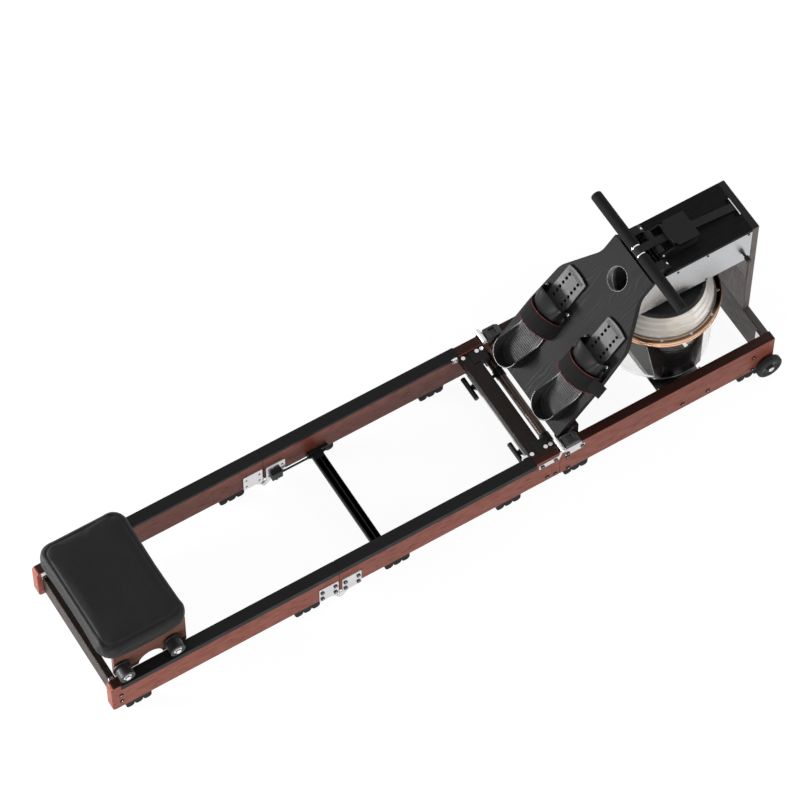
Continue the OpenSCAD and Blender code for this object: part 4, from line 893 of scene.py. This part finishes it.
def arch(profile):
    """Sweep a closed profile, drawn in X and Y, half round the X axis and close its ends."""
    select_only()
    bpy.ops.mesh.primitive_circle_add(vertices=len(profile), radius=1)
    obj = bpy.context.object
    for v, (x, y) in zip(obj.data.vertices, profile):
        v.co = (x, y, 0)
    pick_all(obj)
    bpy.ops.mesh.spin(steps=44, angle=-math.pi, center=(0, 0, 0), axis=(1, 0, 0))
    bpy.ops.mesh.select_all(action="SELECT")
    bpy.ops.mesh.remove_doubles(threshold=WELD)
    bpy.ops.mesh.fill_holes(sides=0)
    object_mode()
    outwards(obj)
    return obj


def pillow_profile(width, thick, radius, count=28):
    """A padded band's section at a radius from the foot's middle line."""
    points = []
    for i in range(count):
        c, s = math.cos(2 * math.pi * i / count), math.sin(2 * math.pi * i / count)
        x = width / 2 * math.copysign(abs(c) ** 0.55, c)
        points.append((x, radius + thick / 2 * math.copysign(abs(s) ** 0.75, s)))
    return points


def round_profile(at, radius, r, count=10):
    """A round cord's section, at a place along the foot and a radius from its middle line."""
    turns = [2 * math.pi * i / count for i in range(count)]
    return [(at + r * math.cos(a), radius + r * math.sin(a)) for a in turns]


def padded_band(thickness):
    """The band over a foot, drawn in along its stitches."""
    band = arch(pillow_profile(STRAP_LONG, thickness, STRAP_R))
    for v in band.data.vertices:
        r = math.hypot(v.co.y, v.co.z)
        if 0 < v.co.z and r > STRAP_R:
            off = abs(math.atan2(v.co.z, v.co.y) - math.pi / 2)
            dip = sum(math.exp(-(((off - line) / STITCH_WIDTH) ** 2)) for line in STITCHES)
            k = (r - STITCH_DEPTH * dip) / r
            v.co.y, v.co.z = v.co.y * k, v.co.z * k
    return band


def loose_end():
    """The tongue at the foot of a strap, which droops towards its free end."""
    tail = add_box(TAIL, (0.012, -TAIL[1] / 2, 0))
    pick(tail, edges=lambda e: abs((e.verts[0].co - e.verts[1].co).y) > TAIL[1] * 0.9)
    bpy.ops.mesh.subdivide(number_cuts=8)
    object_mode()
    for v in tail.data.vertices:
        v.co.z -= 5.5 * v.co.y * v.co.y
    tail.data.transform(Matrix.Translation(mm(0, -58, 25)))
    apply_modifier(tail, "BEVEL", width=0.0007, segments=2)
    return tail


def toe_hood():
    """A thin hood, round at the strap and lower and squarer at the toes."""
    hood = arch(pillow_profile(HOOD_LONG, HOOD_THICK, HOOD_R))
    for v in hood.data.vertices:
        a = math.atan2(v.co.z, v.co.y)
        square = (abs(math.cos(a)) ** 6 + abs(math.sin(a)) ** 6) ** (-1 / 6)
        share = min(1, max(0, (v.co.x + HOOD_LONG / 2) / HOOD_LONG))
        k = 1 + (square - 1) * share
        v.co.y, v.co.z = v.co.y * k, v.co.z * (k - HOOD_DROP * share)
    return hood


class ROWER_OT_foot_straps(bpy.types.Operator):
    """Arch a padded strap with piping and a toe hood over each foot plate"""

    bl_idname = "rower.foot_straps"
    bl_label = "Foot straps"

    def execute(self, context):
        for side, word in SIDES:
            middle = board_matrix(side) @ Matrix.Translation(mm(STRAP_U, 0, 0))
            pad = padded_band(context.scene.rower_sizes.strap_pad)
            if side < 0:
                pad = join(loose_end(), pad)
            pad.matrix_world = middle
            settle(pad, f"foot_strap_{word}", "base", "strap_knit", 50)
            if side < 0:
                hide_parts("foot_straps")
            hood = toe_hood()
            hood.matrix_world = middle @ Matrix.Translation(mm(HOOD_AHEAD, 0, 0))
            settle(hood, f"foot_hood_{word}", "base", "hood_skin", 50)
            edges = (-STRAP_LONG / 2, STRAP_LONG / 2)
            pipe = join(*(arch(round_profile(x, PIPING_R, PIPING_THICK / 2)) for x in edges))
            pipe.matrix_world = middle
            settle(pipe, f"strap_piping_{word}", "base", "strap_piping")
        return {"FINISHED"}


# Fittings


def domed_head(radius, height, sides):
    """A screw head with a rounded rim, its top along +Z."""
    head = add_cylinder(radius, height, sides)
    pick(head, edges=lambda e: all(v.co.z > height * 0.9 for v in e.verts))
    bpy.ops.mesh.bevel(offset=height * 0.7, segments=4)
    object_mode()
    return head


def button_screw(radius, height, key):
    """A domed head with a hexagon socket."""
    head = domed_head(radius, height, 28)
    cut(head, add_cylinder(key, height, 6, (0, 0, height * 0.45)))
    return head


def cross_screw(radius, height):
    """A domed head with a cross recess."""
    head = domed_head(radius, height, 24)
    long, thin = radius * 1.1, radius * 0.24
    for size in ((long, thin, height), (thin, long, height)):
        cut(head, add_box(size, (0, 0, height)))
    return head


def stepped_ring(radius, depth, bore, *steps):
    """A turned ring with steps in its face, which looks along +Z."""
    ring = add_cylinder(radius, depth, 40)
    inset_top(ring, *steps)
    cut(ring, add_cylinder(bore, 0.01, 32, (0, 0, -0.002)))
    return ring


def both_sides(places, out):
    """Places that face outwards on both sides, from [x, z] and Y, in millimetres."""
    return [(mm(x, s * out, z), Vector((0, s, 0))) for x, z in places for s in (-1, 1)]


# Where the small fittings sit, in millimetres. The bolts on the rails' outer faces have
# their [x, z] and the thickness of the plate under their heads.
SOCKETS = {
    "base": (
        ([(376.5, 107), (381.5, 42), (765.5, 57), (851.5, 57), (1004.5, 106), (1004.5, 43)], 0),
        ([(375.5, 131), (423.5, 132)], 3),
    ),
    "mid_section": (
        ([(311.5, 52), (338.5, 47)], 0),
        ([(291.5, 131), (335.5, 130)], 3),
        ([(-354.5, 45), (-312.5, 45), (-354.5, 77), (-312.5, 77)], 6.4),
    ),
    "rear_section": (
        ([(-1062.5, 99), (-1062.5, 65)], 0),
        ([(-384.5, 45), (-426.5, 45), (-384.5, 77), (-426.5, 77)], 3),
    ),
}
HEAD_OUT = 1.25  # from the face under a bolt's head to the floor of its socket
UPRIGHT_BOLTS, UPRIGHT_Y = ((283, 144.25), (328, 147.25), (344, 147.25)), 183.5
PLATE_SCREWS, PLATE_Y = ((904.5, 545), (907.5, 425), (1040.5, 546), (806, 541)), 90
REST_SCREW, REST_SLOPE, GUIDE_END = (782.5, 66, 576.4), (13, 0, 16), 45
EAR_SCREW = (-192, 56, 6)  # on the foot bracket, in the board's own frame
ROLLERS = {"rear": X_REAR + 55, "front": X_REAR + 212}
WHEEL_FACE, ROLLER_FACE, ROLLER_Z = 250.6, 218.6, 176.3

# Heel pads and their ribs, in metres in the board's own frame
PAD_U, PAD_Z, PAD_SIZE = -0.371, 0.0075, (0.145, 0.0885, 0.0012)
RIBS, RIB_U, RIB_Z, RIB_PITCH, RIB_SIZE = 15, -0.407, 0.0085, 0.0065, (0.0016, 0.07, 0.0012)


class ROWER_OT_sockets(bpy.types.Operator):
    """Line the hexagon sockets of the rail bolts with bright steel"""

    bl_idname = "rower.sockets"
    bl_label = "Bolt sockets"

    def execute(self, context):
        for body, groups in SOCKETS.items():
            places = []
            for at, lift in groups:
                places += both_sides(at, RAIL_OUT + lift + HEAD_OUT)
            if body == "mid_section":
                places += [(mm(x, s * UPRIGHT_Y, z), UP) for x, z in UPRIGHT_BOLTS for s in (-1, 1)]
            liner = add_cylinder(0.0022, 0.0012, 6)
            inset_top(liner, (0.0005, 0), (0.0004, -0.0008))
            settle(copies(liner, places), f"sockets_{body}", body, "bright_steel")
        return {"FINISHED"}


class ROWER_OT_screws(bpy.types.Operator):
    """Fit the small screws of the side plates, the rests, the roller and the foot brackets"""

    bl_idname = "rower.screws"
    bl_label = "Screws"

    def execute(self, context):
        dark = copies(cross_screw(0.0038, 0.0018), both_sides(PLATE_SCREWS, PLATE_Y))
        settle(dark, "plate_screws", "base", "black_oxide")
        x, y, z = REST_SCREW
        up = Vector(REST_SLOPE).normalized()
        places = [(mm(x, s * y, z), up) for s in (-1, 1)] + both_sides([GUIDE_AT], GUIDE_END)
        bright = copies(button_screw(0.0045, 0.0022, 0.0018), places)
        settle(bright, "rest_screws", "base", "bright_steel")
        u, v, w = EAR_SCREW
        for side, word in SIDES:
            board = board_matrix(side)
            up = board.to_3x3() @ UP
            places = [(board @ mm(u, s * v, w), up) for s in (-1, 1)]
            ear = copies(cross_screw(0.0048, 0.0024), places)
            settle(ear, f"bracket_screws_{word}", "base", "bright_steel")
        return {"FINISHED"}


class ROWER_OT_heel_pads(bpy.types.Operator):
    """Lay a ribbed rubber pad in each heel cup"""

    bl_idname = "rower.heel_pads"
    bl_label = "Heel pads"

    def execute(self, context):
        long, wide, thick = PAD_SIZE
        for side, word in SIDES:
            select_only()
            bpy.ops.mesh.primitive_plane_add(size=1)
            pad = context.object
            for v in pad.data.vertices:
                v.co = (PAD_U + v.co.x * long, v.co.y * wide, PAD_Z)
            for heel, radius, segments in ((True, 0.043, 14), (False, 0.012, 5)):
                pick(pad, verts=lambda v: (v.co.x < PAD_U) == heel)
                bpy.ops.mesh.bevel(offset=radius, segments=segments, affect="VERTICES")
            pick_all(pad)
            bpy.ops.mesh.extrude_region_move(TRANSFORM_OT_translate={"value": (0, 0, thick)})
            inset_top(pad, (0.003, 0), (0.0006, -0.0006))
            ribs = [add_box(RIB_SIZE, (RIB_U + i * RIB_PITCH, 0, RIB_Z)) for i in range(RIBS)]
            for rib in ribs:
                apply_modifier(rib, "BEVEL", width=0.0004, segments=2)
            whole = join(*ribs, pad)
            whole.matrix_world = board_matrix(side)
            outwards(whole)
            settle(whole, f"heel_pad_{word}", f"foot_plate_{word}", "heel_rubber")
        return {"FINISHED"}


class ROWER_OT_wheel_hubs(bpy.types.Operator):
    """Turn the hub caps of the transport wheels and of the seat rollers"""

    bl_idname = "rower.wheel_hubs"
    bl_label = "Hub caps"

    def execute(self, context):
        x, z = WHEEL_AT
        for side, word in SIDES:
            cap = stepped_ring(0.0115, 0.0016, 0.0053, (0.0022, 0.0012), (0.0012, -0.0008))
            at = [(mm(x, side * WHEEL_FACE, z), Vector((0, side, 0)))]
            settle(copies(cap, at), f"wheel_cap_{word}", f"wheel_{word}", "moulded_plastic")
        for word, x in ROLLERS.items():
            ring = stepped_ring(0.0125, 0.0024, 0.0083, (0.0014, 0), (0.0006, -0.0012))
            at = both_sides([(x, ROLLER_Z)], ROLLER_FACE)
            settle(copies(ring, at), f"bearing_{word}", f"rollers_{word}", "bright_steel")
        return {"FINISHED"}


class ROWER_OT_hole_sleeve(bpy.types.Operator):
    """Line the hand hole with a thin grey sleeve"""

    bl_idname = "rower.hole_sleeve"
    bl_label = "Hand hole sleeve"

    def execute(self, context):
        depth, wall, proud = 0.0186, 0.0012, 0.0003
        sleeve = add_cylinder(HOLE_R * MM - 0.0002, depth, 96)
        cut(sleeve, add_cylinder(HOLE_R * MM - wall, depth * 3, 96, (0, 0, -depth)))
        sleeve.matrix_world = board_matrix() @ Matrix.Translation((0, 0, proud - depth))
        settle(sleeve, "hole_sleeve", "base", "sleeve_plastic")
        return {"FINISHED"}


class ROWER_OT_plank_strip(bpy.types.Operator):
    """Fit the light strip under the rear edge of the cross plank"""

    bl_idname = "rower.plank_strip"
    bl_label = "Plank strip"

    def execute(self, context):
        low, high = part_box("mid_plank")
        strip = add_box((0.004, high[1] - low[1] - 0.001, 0.015),
                        (low[0] + 0.004, 0, low[2] - 0.0075))
        apply_modifier(strip, "BEVEL", width=0.001, segments=3)
        settle(strip, "plank_strip", "mid_section", "brushed_aluminium")
        return {"FINISHED"}


# Panel and registration


def size_property(name, description, value, subtype="DISTANCE", **limits):
    """A size of the panel, with its least and most."""
    return FloatProperty(name=name, description=description, default=value, subtype=subtype,
                         **limits)


class RowerSizes(bpy.types.PropertyGroup):
    """Sizes that a user would change"""

    lens: size_property("Lens", "Focal length", 200.7, "DISTANCE_CAMERA", min=20, max=400)
    roll: size_property("Roll", "Roll of the camera in degrees", 0.29, "NONE")
    key_light: size_property("Key light", "Power of the main lamp in watts", 190, "NONE", min=0)
    fill_light: size_property("Fill light", "Light all round", 0.32, "FACTOR", min=0, max=1)
    board_angle: size_property("Board angle", "Footboard's slope", math.radians(50), "ANGLE")
    seat_grain: size_property("Seat mesh", "Cells of its cover", 0.005, min=0.003, max=0.01)
    strap_width: size_property("Strap width", "Of the drive strap", 0.024, min=0.018, max=0.026)
    strap_thickness: size_property("Strap thickness", "Of the drive strap", 0.0016, min=0.001,
                                   max=0.002)
    strap_pad: size_property("Strap padding", "Of a foot strap", 0.0058, min=0.004, max=0.008)


def colour_property(name, description, value):
    """A colour of the panel, in linear light."""
    return FloatVectorProperty(name=name, description=description, default=value, subtype="COLOR",
                               size=3, min=0, max=1)


class RowerColours(bpy.types.PropertyGroup):
    """Colours that a user would change"""

    rail_wood: colour_property("Rail wood", "Stain of the side rails", (0.212, 0.057, 0.036))
    dark_wood: colour_property("Dark wood", "Stain of the boards across", (0.016, 0.01, 0.008))
    black_plastic: colour_property("Plastic", "Moulded fittings", (0.009, 0.009, 0.0092))
    seat: colour_property("Seat", "Cover of the seat", (0.0095, 0.0095, 0.0098))
    copper: colour_property("Copper", "Clamp ring of the tank", (0.86, 0.55, 0.36))
    tube: colour_property("Tube", "Locking tube", (0.1, 0.068, 0.054))
    piping: colour_property("Piping", "Edge of the foot straps", (0.16, 0.02, 0.016))


# In the order of work
OPERATORS = (ROWER_OT_camera, ROWER_OT_studio, ROWER_OT_finishes, ROWER_OT_seat,
             ROWER_OT_drive_strap, ROWER_OT_foot_straps, ROWER_OT_sockets, ROWER_OT_screws,
             ROWER_OT_heel_pads, ROWER_OT_wheel_hubs, ROWER_OT_plank_strip,
             ROWER_OT_hole_sleeve)


class ROWER_PT_panel(bpy.types.Panel):
    """Sizes, colours and steps of the rowing machine"""

    bl_idname = "ROWER_PT_panel"
    bl_label = "Water rowing machine"
    bl_space_type = "VIEW_3D"
    bl_region_type = "UI"
    bl_category = "Rower"

    def draw(self, context):
        column = self.layout.column()
        for group in (context.scene.rower_sizes, context.scene.rower_colours):
            for name in group.__annotations__:
                column.prop(group, name)
        for operator in OPERATORS:
            column.operator(operator.bl_idname)


CLASSES = (RowerSizes, RowerColours, *OPERATORS, ROWER_PT_panel)


def register():
    for cls in CLASSES:
        bpy.utils.register_class(cls)
    bpy.types.Scene.rower_sizes = PointerProperty(type=RowerSizes)
    bpy.types.Scene.rower_colours = PointerProperty(type=RowerColours)


def unregister():
    del bpy.types.Scene.rower_colours
    del bpy.types.Scene.rower_sizes
    for cls in reversed(CLASSES):
        bpy.utils.unregister_class(cls)


def main():
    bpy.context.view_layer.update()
    register()
    for operator in OPERATORS:
        group, name = operator.bl_idname.split(".")
        getattr(getattr(bpy.ops, group), name)()


if __name__ == "__main__":
    main()
